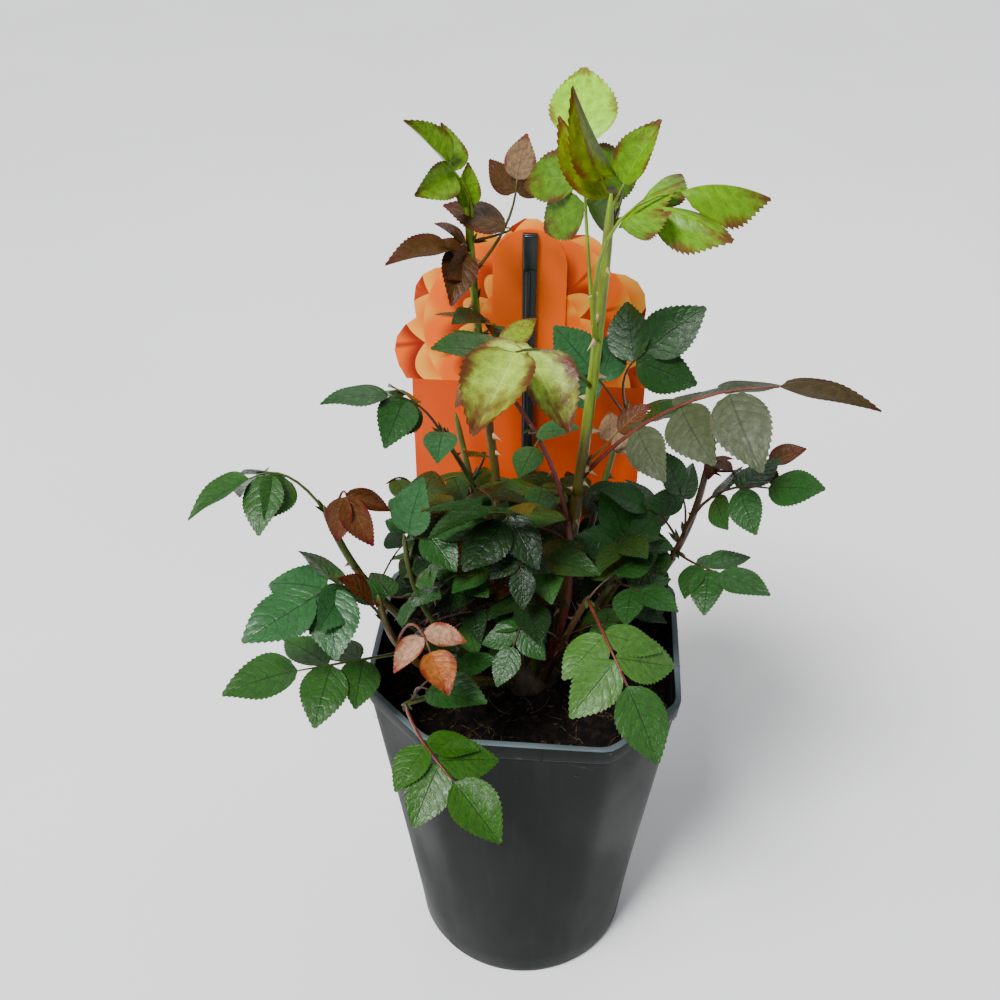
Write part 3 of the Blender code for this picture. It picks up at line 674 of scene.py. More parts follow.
@dataclass(frozen=True)
class PrintFinish:
    """A printed card: rings of broad rounded petals over a plain panel, or plain all over."""
    middle: tuple[float, float]
    panel: float
    deep: Colour = (0.30, 0.005, 0.001)
    warm: Colour = (0.95, 0.135, 0.004)
    pale: Colour = (1.0, 0.46, 0.050)
    plain: Colour = (0.62, 0.062, 0.003)
    petals: float = 6.0
    rings: float = 31.0
    heart: tuple[float, float] = (0.030, 0.085)

    def build(self, name: str) -> bpy.types.Material:
        """Make the material.

        Args:
            name: its name.

        Returns:
            The material.
        """
        graph = Graph(name, 0.48, 0.22)
        x, _, z = graph.split(graph.place())
        across, up = x - self.middle[0] * MM, z - self.middle[1] * MM
        reach = graph.math("SQRT", across * across + up * up)
        twist = graph.math("FLOOR", reach * self.rings) * 1.1
        lobes = graph.math("SINE", graph.math("ARCTAN2", up, across) * self.petals + twist).size()
        band = graph.math("FRACT", reach * self.rings - lobes * 0.36)
        crease = 1.0 - graph.spread(lobes, 0.0, 0.24)
        gap = (1.0 - graph.spread(reach, *self.heart)) * (1.0 - graph.spread(band, 0.10, 0.45))
        soft = graph.noise((30, 30, 30), 2.0)
        colour = graph.mix(graph.spread(band, 0.0, 0.42), self.deep, self.warm)
        colour = graph.mix(crease * 0.85, colour, self.deep)
        colour = graph.mix(graph.spread(band, 0.55, 0.98) * 0.9, colour, self.pale)
        colour = graph.mix(gap * 0.8, colour, self.deep)
        colour = graph.mix(soft * 0.25, colour, self.warm)
        bare = graph.mix(soft * 0.20, self.plain, self.warm)
        colour = graph.mix(graph.math("LESS_THAN", z, self.panel * MM), colour, bare)
        return graph.finish(colour, soft + graph.noise((900, 900, 300), 3.0) * 0.3, 0.12, 0.2)


LEAF_FINISHES = {
    # lime leaves: their own pale lime, made brighter than a leaf is, as painted glow of light shining through
    # them
    T.LIME: LeafFinish((0.29, 0.66, 0.006), (0.42, 0.78, 0.025), (0.17, 0.15, 0.010), 0.42, 0.06, True),
    T.FRESH_LIME: LeafFinish((0.12, 0.285, 0.002), (0.22, 0.43, 0.01), (0.11, 0.042, 0.008), 0.38, 0.14, True),
    T.LIME_BROWN: LeafFinish((0.07, 0.175, 0.003), (0.12, 0.25, 0.008), (0.075, 0.028, 0.004), 0.4, 0.16, True),
    T.YOUNG: LeafFinish((0.12, 0.26, 0.004), (0.21, 0.38, 0.014), (0.085, 0.05, 0.004), 0.36, 0.12, True),
    T.TWO_TONE: LeafFinish((0.33, 0.48, 0.040), (0.52, 0.68, 0.14), (0.095, 0.030, 0.008), 0.34, 0.37, True),
    T.OLIVE: LeafFinish((0.17, 0.235, 0.005), (0.24, 0.34, 0.014), (0.12, 0.042, 0.004), 0.36, 0.14, True),
    T.LIGHT: LeafFinish((0.046, 0.135, 0.016), (0.10, 0.22, 0.04), (0.05, 0.075, 0.010), 0.36),
    T.FRESH: LeafFinish((0.021, 0.088, 0.003), (0.065, 0.17, 0.02), (0.03, 0.048, 0.005), 0.34),
    T.MID: LeafFinish((0.021, 0.080, 0.010), (0.055, 0.150, 0.033), (0.030, 0.035, 0.008), 0.30),
    T.DARK: LeafFinish((0.014, 0.066, 0.010), (0.044, 0.130, 0.028), (0.028, 0.020, 0.006), 0.29),
    T.DEEP: LeafFinish((0.005, 0.022, 0.003), (0.018, 0.050, 0.012), (0.012, 0.010, 0.003), 0.30),
    T.BLUE: LeafFinish((0.023, 0.098, 0.025), (0.06, 0.18, 0.065), (0.030, 0.045, 0.014), 0.30),
    T.GREY: LeafFinish((0.050, 0.066, 0.024), (0.08, 0.105, 0.045), (0.07, 0.030, 0.018), 0.5),
    T.BRONZE: LeafFinish((0.068, 0.022, 0.003), (0.08, 0.06, 0.01), (0.065, 0.008, 0.002), 0.40, 0.1, True),
    T.DUSK: LeafFinish((0.042, 0.026, 0.006), (0.060, 0.050, 0.012), (0.040, 0.009, 0.004), 0.38, 0.1, True),
    T.TAN: LeafFinish((0.26, 0.165, 0.085), (0.12, 0.035, 0.014), (0.13, 0.035, 0.015), 0.45, 0.1, True),
    T.RED: LeafFinish((0.085, 0.024, 0.004), (0.20, 0.10, 0.030), (0.085, 0.006, 0.005), 0.32, 0.15, True),
    T.PINK: LeafFinish((0.46, 0.27, 0.17), (0.26, 0.07, 0.03), (0.22, 0.040, 0.012), 0.40, 0.18, True),
    T.PEACH: LeafFinish((0.36, 0.115, 0.020), (0.20, 0.03, 0.006), (0.14, 0.014, 0.004), 0.32, 0.2, True),
}
BARK_FINISHES = {
    B.OLD: BarkFinish((0.022, 0.013, 0.007), (0.055, 0.038, 0.020), 0.8, 0.8),
    B.OLIVE: BarkFinish((0.085, 0.066, 0.008), (0.040, 0.020, 0.004)),
    B.GREEN: BarkFinish((0.055, 0.085, 0.010), (0.055, 0.035, 0.008)),
    B.LIME: BarkFinish((0.17, 0.28, 0.005), (0.11, 0.13, 0.003), 0.42, 0.3, (0.085, 0.065, 0.006)),
    B.RED: BarkFinish((0.115, 0.016, 0.009), (0.16, 0.05, 0.022), 0.38),
    B.WINE: BarkFinish((0.13, 0.018, 0.014), (0.16, 0.045, 0.022), 0.42),
    B.BROWN: BarkFinish((0.055, 0.024, 0.008), (0.028, 0.010, 0.004)),
    B.STRAW: BarkFinish((0.44, 0.36, 0.17), (0.36, 0.13, 0.05), 0.45, 0.2),
}
STALK_BARK = {
    T.LIME: B.LIME, T.YOUNG: B.LIME, T.LIME_BROWN: B.LIME, T.FRESH_LIME: B.LIME,
    T.TWO_TONE: B.GREEN, T.OLIVE: B.GREEN, T.MID: B.GREEN, T.TAN: B.OLIVE, T.BRONZE: B.OLIVE,
    T.GREY: B.RED, T.RED: B.RED, T.PINK: B.RED, T.PEACH: B.RED, T.LIGHT: B.RED, T.FRESH: B.RED,
}


# --- the plant's rule ------------------------------------------------------------------

UP = np.array((0.0, 0.0, 1.0))
STEM_START = 232.0
SHOOT_STEPS = 40
STALK_STEPS = 8
STALK_ARCH = 0.45
LAST_NODE = 0.975
PAIR_SPREAD = 62.0
PAIR_DROP = 0.18
PAIR_STAGGER = 0.9
PAIR_SIZE = (0.62, 0.28)
SUN = (0.0, -0.25, 1.0)
LOW_SUN = (0.0, -0.8, 0.6)
FILL_REACH = 42.0
FILL_SIZE = (27.0, 3.0)
FILL_TURN = 137.5
FILL_FIRST_TURN = 60.0
FILL_PITCH = (45.0, -8.0, 3)
FILL_DROOP = 40.0
FILL_OUTWARD = 0.4
FILL_NUDGES = ((0, 0), (30, 0), (-30, 0), (0, 25), (60, 10), (-60, 10), (0, -25), (90, 0), (-90, 0))


def direction(heading: float, pitch: float) -> np.ndarray:
    """Unit vector of a heading and a pitch in degrees."""
    turn, rise = radians(heading), radians(pitch)
    return np.array([cos(rise) * cos(turn), cos(rise) * sin(turn), sin(rise)])


def unit(vector: np.ndarray) -> np.ndarray:
    """A vector made one unit long."""
    return vector / np.linalg.norm(vector)


def square(vector: np.ndarray, way: np.ndarray) -> np.ndarray:
    """The part of a vector that is square to a way, made one unit long."""
    return unit(vector - way * (vector @ way))


def shoot_path(shoot: Shoot) -> np.ndarray:
    """Centre line of a shoot in millimetres.

    Args:
        shoot: its row of the table.

    Returns:
        Points from its hidden start to its tip.
    """
    points = [np.array([*shoot.foot, STEM_START], dtype=float)]
    for i in range(SHOOT_STEPS):
        share = (i + 0.5) / SHOOT_STEPS
        way = direction(shoot.heading + shoot.swing * share, shoot.rise + shoot.curl * share)
        points.append(points[-1] + way * shoot.length / SHOOT_STEPS)
    return np.array(points)


def along(path: np.ndarray, share: float) -> tuple[np.ndarray, np.ndarray]:
    """Point and direction at a share of a path.

    Args:
        path: points of a line.
        share: how far along it, from 0 to 1.

    Returns:
        The point and the direction there.
    """
    place = min(max(share, 0.0), 1.0) * (len(path) - 1)
    i = min(int(place), len(path) - 2)
    step = path[i + 1] - path[i]
    return path[i] + step * (place - i), unit(step)


def stalk_path(start: np.ndarray, leaf: Leaf, steps: int) -> np.ndarray:
    """Centre line of a leaf's stalk, which ends in its end leaflet's direction.

    Args:
        start: the point where it leaves the shoot.
        leaf: the leaf.
        steps: how many steps it is cut into.

    Returns:
        Its points in millimetres.
    """
    end = start + direction(leaf.heading, leaf.pitch) * leaf.reach
    guide = end - direction(leaf.blade_heading, leaf.blade_pitch) * leaf.reach * STALK_ARCH
    share = np.linspace(0.0, 1.0, steps + 1)[:, None]
    return (1 - share) ** 2 * start + 2 * share * (1 - share) * guide + share ** 2 * end


def blade_axes(forward: np.ndarray, roll: float, sun: Point) -> tuple[np.ndarray, np.ndarray]:
    """Side and upper directions of a blade that turns to the sun, then rolls.

    Args:
        forward: the blade's direction from root to tip.
        roll: its turn about that direction in degrees.
        sun: where the light comes from.

    Returns:
        The side and the upper direction.
    """
    upper = square(np.array(sun), forward)
    side = np.cross(forward, upper)
    turn = radians(roll)
    return cos(turn) * side + sin(turn) * upper, cos(turn) * upper - sin(turn) * side


@dataclass(frozen=True)
class Blade:
    """Place of one leaflet: its root, three directions and its length."""
    root: np.ndarray
    forward: np.ndarray
    side: np.ndarray
    upper: np.ndarray
    size: float
    tip: bool = False

    def middle(self) -> np.ndarray:
        """The point where the leaflet's solid is thickest."""
        return self.root + self.forward * self.size * 0.45


def blades_of(path: np.ndarray, leaf: Leaf, sun: Point) -> list[Blade]:
    """Places of a leaf's leaflets, the end leaflet last.

    Args:
        path: the stalk's centre line.
        leaf: the leaf.
        sun: where the light comes from.

    Returns:
        One blade for each leaflet.
    """
    blades = []
    pairs = (leaf.count - 1) // 2
    spread = radians(PAIR_SPREAD)
    for pair in range(pairs):
        base, forward = along(path, 1 - leaf.spacing * (pairs - pair))
        side, upper = blade_axes(forward, leaf.roll, sun)
        size = leaf.size * (PAIR_SIZE[0] + PAIR_SIZE[1] * (pair + 1) / pairs)
        drop = UP * (leaf.droop + leaf.pair_drop * (pairs - pair) / pairs)
        for hand in (-1, 1):
            out = unit(cos(spread) * forward + hand * sin(spread) * side - PAIR_DROP * upper - drop)
            top = square(upper, out)
            roll = radians(leaf.pair_roll) * hand
            top = cos(roll) * top + sin(roll) * np.cross(out, top)
            root = base + forward * hand * PAIR_STAGGER
            blades.append(Blade(root, out, np.cross(out, top), top, size))
    base, forward = along(path, 1.0)
    forward = unit(forward - UP * leaf.droop)
    side, upper = blade_axes(forward, leaf.roll, sun)
    blades.append(Blade(base, forward, side, upper, leaf.size, True))
    return blades


def rule_leaves(shoot: Shoot) -> list[Leaf]:
    """Leaves that stand round a shoot at the golden angle, above its bare part.

    Args:
        shoot: its row of the table.

    Returns:
        The leaves, lowest first.
    """
    leaves = []
    pitch_start, pitch_step, pitch_count = FILL_PITCH
    for i in range(shoot.fill):
        at = shoot.bare + (1 - shoot.bare) * (i + 0.6) / (shoot.fill + 0.4)
        heading = shoot.heading + FILL_FIRST_TURN + FILL_TURN * i
        pitch = pitch_start + pitch_step * (i % pitch_count)
        size = FILL_SIZE[0] + FILL_SIZE[1] * (i % 2)
        leaves.append(Leaf(at, heading, pitch, FILL_REACH, heading, pitch - FILL_DROOP, 3, size))
    return leaves


# --- many small shapes, joined --------------------------------------------------------


class MeshStore:
    """Corners, faces and UVs of many small shapes that become one piece."""

    def __init__(self, name: str) -> None:
        """Start an empty store.

        Args:
            name: the name of the piece that it becomes.
        """
        self.name = name
        self.points: list[np.ndarray] = []
        self.faces: Faces = []
        self.uvs: list[np.ndarray] = []
        self.count = 0

    def add(self, points: np.ndarray, faces: Faces, uvs: np.ndarray) -> None:
        """Add one shape.

        Args:
            points: its corners in millimetres.
            faces: its faces, as rows of corner numbers.
            uvs: one UV for each corner of each face, in order.
        """
        self.faces += [tuple(self.count + i for i in face) for face in faces]
        self.points.append(points)
        self.uvs.append(uvs)
        self.count += len(points)

    def build(self) -> bpy.types.Object:
        """Make the joined piece, smooth shaded and in metres.

        Returns:
            The piece.
        """
        mesh = bpy.data.meshes.new(self.name)
        mesh.from_pydata((np.concatenate(self.points) * MM).tolist(), [], self.faces)
        layer = mesh.uv_layers.new(name="OFBake")
        layer.data.foreach_set("uv", np.concatenate(self.uvs).astype(np.float32).ravel())
        mesh.shade_smooth()
        mesh.update()
        obj = bpy.data.objects.new(self.name, mesh)
        bpy.context.scene.collection.objects.link(obj)
        return obj


class SmallShape:
    """Arrays of a shape modelled once with operators, ready to be copied into a store."""

    def __init__(self, obj: bpy.types.Object) -> None:
        """Read an object's mesh and remove the object.

        Args:
            obj: the object.
        """
        mesh = obj.data
        self.points = np.array([vert.co for vert in mesh.vertices])
        self.faces = [tuple(face.vertices) for face in mesh.polygons]
        layer = mesh.uv_layers.active
        self.uvs = np.array([item.uv for item in layer.data]) if layer else np.zeros((len(mesh.loops), 2))
        bpy.data.objects.remove(obj, do_unlink=True)
        bpy.data.meshes.remove(mesh)


class LeafletShape(SmallShape):
    """A toothed leaflet one unit long: X runs to its tip, Y across, Z is the quilting."""
    teeth = 16
    half_width = 0.372
    quilt = 0.0012
    tooth = 0.030
    lean = 0.35

    def __init__(self) -> None:
        """Model the leaflet from a grid whose long edges are cut into teeth."""
        deselect()
        bpy.ops.mesh.primitive_grid_add(x_subdivisions=self.teeth, y_subdivisions=4, size=2.0)
        obj = take_active("leaflet_pattern")
        mesh = obj.data
        for element in (*mesh.vertices, *mesh.edges, *mesh.polygons):
            element.select = False
        bpy.context.tool_settings.mesh_select_mode = (False, True, False)
        for edge in mesh.edges:
            ends = [mesh.vertices[i].co.y for i in edge.vertices]
            edge.select = min(abs(y) for y in ends) > 0.99 and ends[0] * ends[1] > 0
        bpy.ops.object.mode_set(mode="EDIT")
        bpy.ops.mesh.subdivide(number_cuts=1)
        bpy.ops.object.mode_set(mode="OBJECT")
        layer = mesh.uv_layers.active or mesh.uv_layers.new(name="OFBake")
        for loop in mesh.loops:
            co = mesh.vertices[loop.vertex_index].co
            layer.data[loop.index].uv = (0.01 + 0.98 * (co.x + 1) / 2, 0.5 + 0.49 * co.y)
        for vert in mesh.vertices:
            vert.co = self.shaped(vert.co)
        mend(obj, 1e-4)
        super().__init__(obj)

    def outline(self, share: float) -> float:
        """Half width at a share of the length, in leaflet lengths."""
        share = min(max(share, 0.0), 1.0)
        return self.half_width * sin(pi * share ** 0.78) ** 0.76 * (1 - 0.28 * share ** 4)

    def shaped(self, flat: Vector) -> Vector:
        """Move a corner of the flat grid to its place on the leaflet.

        Args:
            flat: the corner, from -1 to 1 each way.

        Returns:
            Its place.
        """
        share = (flat.x + 1) / 2
        column = share * self.teeth
        notch = abs(column - round(column)) < 0.01
        width = self.outline(share) * flat.y
        lift = 0.0
        if abs(flat.y) > 0.99:
            width *= 1 - self.tooth if notch else 1 + self.tooth
            share += 0.0 if notch else self.lean / self.teeth
        elif abs(flat.y) > 0.01:
            lift = self.quilt * (1 if round(column) % 2 else -1)
        ends = 0.0 < share < 1.0
        return Vector((share, width if ends else 0.0, lift if ends else 0.0))


class Gathered:
    """Small shapes gathered by colour, in a store for each."""

    def __init__(self, name: str) -> None:
        """Start with no stores, for pieces whose names begin with a name."""
        self.name = self.finish = name
        self.stores: dict[Tone | Bark, MeshStore] = {}

    def store(self, colour: Tone | Bark) -> MeshStore:
        """The store of a colour, which starts when it is first asked for."""
        return self.stores.setdefault(colour, MeshStore(f"{self.name}_{colour.value}"))

    def build(self) -> None:
        """Make one piece for each bark."""
        for bark, store in self.stores.items():
            dress(store.build(), BARK_FINISHES[bark].build(f"{self.finish}_{bark.value}"), "bark")


class Foliage(Gathered):
    """Leaflets gathered by tone, bent and folded one by one."""
    lift = 20.0
    most_lift = (-60.0, 75.0)
    quiver = 0.012

    def __init__(self, seed: int) -> None:
        """Start with no leaves and a seeded source of small differences.

        Args:
            seed: the seed.
        """
        super().__init__("leaves")
        self.shape = LeafletShape()
        self.nodes: dict[Tone, set[str]] = {}
        self.random = Random(seed)

    def add(self, blade: Blade, tone: Tone, node: str, fold: float = 1.0, broad: float = 1.0,
            curl: float = 0.0) -> None:
        """Add one leaflet.

        Args:
            blade: its place.
            tone: its colour.
            node: the CAD node that it belongs to.
            fold: how far its halves close up, where 1 is an open leaf; they hang where it is negative.
            broad: how broad it is, where 1 is the usual width.
            curl: how far its tip bends down, in leaflet lengths.
        """
        self.nodes.setdefault(tone, set()).add(node)
        draw = self.random.uniform
        x, y, z = self.shape.points.T
        y = -y * draw(0.90, 1.06) * broad
        least, most = self.most_lift
        lift = radians(max(least, min(self.lift * fold * draw(0.6, 1.3), most)))
        closed = max(fold, 1.0)
        sag = draw(0.05, 0.20) / closed + curl
        arch = draw(0.3, 0.9) / closed / broad
        wave = draw(0.0, 6.0)
        height = np.abs(y) * sin(lift) - sag * x ** 2 + z - arch * y ** 2
        height = height + self.quiver * np.sin(10.0 * x + wave) * np.abs(y) / self.shape.half_width
        side = y * cos(lift) + draw(-0.07, 0.07) * x ** 2
        points = np.stack((x, side, height), axis=1) @ np.array((blade.forward, blade.side, blade.upper))
        self.store(tone).add(blade.root + blade.size * points, self.shape.faces, self.shape.uvs)

    def build(self) -> None:
        """Make one piece for each tone, standing for the masses that it has leaves in."""
        for tone, store in self.stores.items():
            dress(store.build(), LEAF_FINISHES[tone].build("leaf_" + tone.value), "foliage",
                  *sorted(self.nodes[tone]))


def frames_along(path: np.ndarray) -> tuple[np.ndarray, np.ndarray]:
    """Two directions square to a path at each of its points, turning as little as they can.

    Args:
        path: points of a line.

    Returns:
        The first and the second directions, one row for each point.
    """
    ways = np.array([unit(step) for step in np.gradient(path, axis=0)])
    first = np.cross(ways[0], (0.0, 1.0, 0.0) if abs(ways[0][1]) < 0.9 else (1.0, 0.0, 0.0))
    rows = []
    for way in ways:
        first = square(first, way)
        rows.append(first)
    return np.array(rows), np.cross(ways, rows)


def tube(path: np.ndarray, radii: np.ndarray, sides: int) -> tuple[np.ndarray, Faces, np.ndarray]:
    """A round limb with closed ends along a path.

    Args:
        path: its centre line.
        radii: its radius at each point.
        sides: how many sides it has.

    Returns:
        Its corners, faces and UVs.
    """
    first, second = frames_along(path)
    angles = np.arange(sides) * 2 * pi / sides
    ring = np.cos(angles)[None, :, None] * first[:, None] + np.sin(angles)[None, :, None] * second[:, None]
    points = (path[:, None] + ring * np.asarray(radii)[:, None, None]).reshape(-1, 3)
    rings = len(path)
    faces: Faces = []
    uvs: list[tuple[float, float]] = []
    for i in range(rings - 1):
        for k in range(sides):
            m = (k + 1) % sides
            faces.append((i * sides + k, i * sides + m, (i + 1) * sides + m, (i + 1) * sides + k))
            low, high = i / rings, (i + 1) / rings
            left, right = k / sides, (k + 1) / sides
            uvs += [(left, low), (right, low), (right, high), (left, high)]
    faces.append(tuple(range(sides - 1, -1, -1)))
    faces.append(tuple(range((rings - 1) * sides, rings * sides)))
    uvs += [(0.5, 0.995)] * (2 * sides)
    return points, faces, np.array(uvs)


class Stalks(Gathered):
    """Leaf stalks and fine twigs gathered by bark."""

    def add(self, path: np.ndarray, radii: tuple[float, float], bark: Bark, sides: int = 6,
            ending: tuple[float, ...] = ()) -> None:
        """Add one tapering stalk.

        Args:
            path: its centre line.
            radii: its first and last radius.
            bark: its colour.
            sides: how many sides it has.
            ending: what the radii at its last points are multiplied by.
        """
        profile = np.linspace(*radii, len(path))
        if ending:
            profile[-len(ending):] *= ending
        self.store(bark).add(*tube(path, profile, sides))


# --- boughs, crown and thorns ------------------------------------------------------------


@dataclass
class Cane:
    """A bough: its bark's relief, nodes and taper, from the crown into its leaves."""
    shoot: Shoot
    rings: int = 46
    sides: int = 14
    knot: float = 0.16
    knot_gap: float = 31.0
    knot_shift: float = 0.4
    knot_width: float = 0.07
    relief: float = 0.35

    def radius(self, share: float) -> float:
        """Radius at a share of the shoot, with a swelling at each old leaf scar."""
        scar = abs((share * self.shoot.length / self.knot_gap + self.knot_shift) % 1.0 - 0.5)
        return self.shoot.radius(share) * (1 + self.knot * max(0.0, 1 - scar / self.knot_width))

    def build(self) -> None:
        """Extrude a ring along the shoot, then give it relief."""
        obj = start_rings(self.shoot.name + "_cane", self.rings + 1, self.sides)
        whole = shoot_path(self.shoot)
        shares = np.linspace(0.0, self.shoot.bare, self.rings + 1)
        path = np.array([along(whole, share)[0] for share in shares])
        first, second = frames_along(path)
        for vert in obj.data.vertices:
            i = round(vert.co.z)
            turn = atan2(vert.co.y, vert.co.x)
            out = first[i] * cos(turn) + second[i] * sin(turn)
            point = path[i] + out * self.radius(shares[i])
            rough = noise.noise(Vector(point) * 0.35) + 0.5 * noise.noise(Vector(point) * 1.1)
            vert.co = Vector(point + out * rough * self.relief) * MM
        mend(obj)
        smooth(obj, 60)
        name = "bark_" + self.shoot.bark.value
        material = bpy.data.materials.get(name) or BARK_FINISHES[self.shoot.bark].build(name)
        dress(obj, material, "bark", self.shoot.name + "_bough")


class Thorns(Gathered):
    """Hooked thorns on the canes, modelled once and copied."""
    levels = 4
    first_share = 0.14
    length = (3.5, 6.5)
    full_radius = 3.2
    red_share = 0.5
    pale_growth = 1.2
    point = 0.012
    hook = 0.30
    depth = 0.12

    def __init__(self, seed: int) -> None:
        """Model the thorn: a long low foot that rises and hooks to a point.

        Args:
            seed: the seed of the thorns' sizes and places.
        """
        super().__init__("thorns")
        self.finish = "thorn"
        obj = start_rings("thorn_pattern", self.levels + 1, 8)
        for vert in obj.data.vertices:
            level = vert.co.z / self.levels
            width = (1 - level) ** 1.5
            vert.co.x = vert.co.x * (0.50 * width + self.point) - self.hook * level ** 1.6
            vert.co.y *= 0.20 * width + self.point
            vert.co.z = level - self.depth
        mend(obj, 1e-5)
        self.shape = SmallShape(obj)
        self.random = Random(seed)

    def add(self, path: np.ndarray, share: float, turn: float, radius: float, size: float,
            bark: Bark) -> None:
        """Set one thorn on a shoot.

        Args:
            path: the shoot's centre line.
            share: how far along it the thorn stands.
            turn: the thorn's heading round it in degrees.
            radius: the shoot's radius there.
            size: the thorn's length.
            bark: its colour.
        """
        point, way = along(path, share)
        out = square(direction(turn, 0.0), way)
        points = self.shape.points * size @ np.array((way, np.cross(out, way), out))
        self.store(bark).add(point + out * radius + points, self.shape.faces, self.shape.uvs)

    def scatter(self, shoot: Shoot, top: float, spacing: float) -> None:
        """Set thorns along a shoot at uneven steps.

        Args:
            shoot: the shoot.
            top: the share of it where they end.
            spacing: their usual distance in millimetres.
        """
        path = shoot_path(shoot)
        share = self.first_share
        while share < top:
            size = self.random.uniform(*self.length) * min(1.0, shoot.radii[0] / self.full_radius)
            turn = self.random.uniform(0, 360)
            bark = Bark.RED if self.random.random() < self.red_share else shoot.bark
            if shoot.stem is Bark.LIME:
                bark, size = Bark.STRAW, size * self.pale_growth
            self.add(path, share, turn, shoot.radius(share), size, bark)
            share += spacing * self.random.uniform(0.5, 1.5) / shoot.length


@dataclass
class Crown:
    """The low woody knob that the canes rise from."""
    centre: Point = (2.0, 0.0, 226.0)
    size: Point = (25.0, 25.0, 20.0)

    def build(self) -> None:
        """Model the knob from a sphere, with cracked bark."""
        deselect()
        bpy.ops.mesh.primitive_ico_sphere_add(subdivisions=5, radius=1.0)
        obj = take_active("crown_bark")
        for vert in obj.data.vertices:
            way = vert.co.normalized()
            turn = atan2(way.y, way.x)
            swell = 0.94 + 0.07 * sin(3 * turn + 0.5) * hypot(way.x, way.y)
            swell += 0.05 * noise.noise(way * 3.0) + 0.035 * abs(noise.noise(way * 9.0))
            vert.co = Vector([(self.centre[i] + way[i] * self.size[i] * swell) * MM for i in range(3)])
        smooth(obj, 60)
        dress(obj, BARK_FINISHES[Bark.OLD].build("old_bark"), "old_bark", "crown_stem")


# --- pot and soil --------------------------------------------------------------------------


@dataclass
class PotShape:
    """Outline of the pot: a square with rounded cut corners over a round foot."""
    width: float = 190.0
    corner: float = 41.0
    height: float = 256.0
    foot: float = 73.5
    round_off: float = 1.7
    sides: int = 144

    def rim(self, angle: float) -> float:
        """Distance from the axis to the rim's outline.

        Args:
            angle: the way to look, in radians.

        Returns:
            The distance, rounded off where a side meets a cut corner.
        """
        side = self.width / 2 / max(abs(cos(angle)), abs(sin(angle)))
        cut = (self.width - self.corner) / (abs(cos(angle)) + abs(sin(angle)))
        blend = np.exp(-abs(side - cut) / self.round_off)
        return min(side, cut) - self.round_off * float(np.log1p(blend))

    def point(self, corner: Vector, height: float, inset: float, share: float = 1.0) -> Vector:
        """A point of the wall, or part of the way out to it.

        Args:
            corner: a ring's corner, which gives the angle.
            height: its height.
            inset: how far it stands in from the outer wall.
            share: its share of the way out from the axis.

        Returns:
            The point in millimetres.
        """
        angle = atan2(corner.y, corner.x)
        up = max(0.0, min(1.0, height / self.height))
        radius = (self.foot * (1 - up) + self.rim(angle) * up - inset) * share
        return Vector((radius * cos(angle), radius * sin(angle), height))


@dataclass
class Pot:
    """The tall nursery pot: stepped foot, cornered wall, rim band with ribs and lip."""
    shape: PotShape
    band: float = 244.0
    band_out: float = 1.6
    lip: float = 4.0
    wall: float = 1.8
    rib_size: Point = (1.5, 1.1, 9.6)
    rib_edge: float = 0.35
    rib_height: float = 250.0
    rib_places: tuple[float, float] = (-19.0, 14.0)

    def levels(self) -> list[tuple[float, float]]:
        """Height and inset of every ring, up the outside and down the inside.

        Returns:
            The rings, in millimetres.
        """
        out, lip = -self.band_out, self.lip - self.band_out
        wall = [(5.2 + (self.band - 6.2) * i / 16, 0.0) for i in range(17)]
        return [
            (0.0, 5.0), (0.0, 2.4), (0.3, 1.6), (0.9, 1.25), (3.6, 1.2), (4.1, 0.9), (4.5, 0.25), *wall,
            (self.band - 0.5, 0.0), (self.band - 0.2, -0.25), (self.band, -0.9),
            (self.band + 0.35, out + 0.15), (self.band + 0.8, out), (self.band + 5.0, out),
            (254.6, out), (255.4, out + 0.2), (255.85, out + 0.7), (256.0, out + 1.3),
            (256.0, lip - 0.7), (255.8, lip - 0.2), (255.3, lip),
            (self.band, lip), (self.band - 2.0, self.wall + 0.2), (236.0, self.wall), (224.0, self.wall),
            (4.0, self.wall + 1.2),
        ]

    def build(self) -> None:
        """Make the shell and the small ribs on its band."""
        levels = self.levels()
        obj = start_rings("pot_shell", len(levels), self.shape.sides)
        for vert in obj.data.vertices:
            height, inset = levels[round(vert.co.z)]
            vert.co = self.shape.point(vert.co, height, inset) * MM
        mend(obj)
        smooth(obj, 38)
        material = PotFinish().build("pot_plastic")
        dress(obj, material, "pot_plastic", "pot")
        self.ribs(material)

    def ribs(self, material: bpy.types.Material) -> None:
        """Set two small ribs on each flat of the band.

        Args:
            material: the pot's plastic.
        """
        obj = start_cube("rib_pattern", self.rib_size)
        with editing(obj):
            bpy.ops.mesh.bevel(offset=self.rib_edge, segments=2)
        rib = SmallShape(obj)
        store = MeshStore("pot_ribs")
        up = self.rib_height / self.shape.height
        reach = self.shape.width / 2 * up + self.shape.foot * (1 - up) + self.band_out
        for quarter in range(4):
            turn = np.array(Matrix.Rotation(quarter * pi / 2, 3, "Z"))
            for place in self.rib_places:
                store.add((rib.points + (place, -reach, self.rib_height)) @ turn.T, rib.faces, rib.uvs)
        dress(store.build(), material, "pot_plastic")


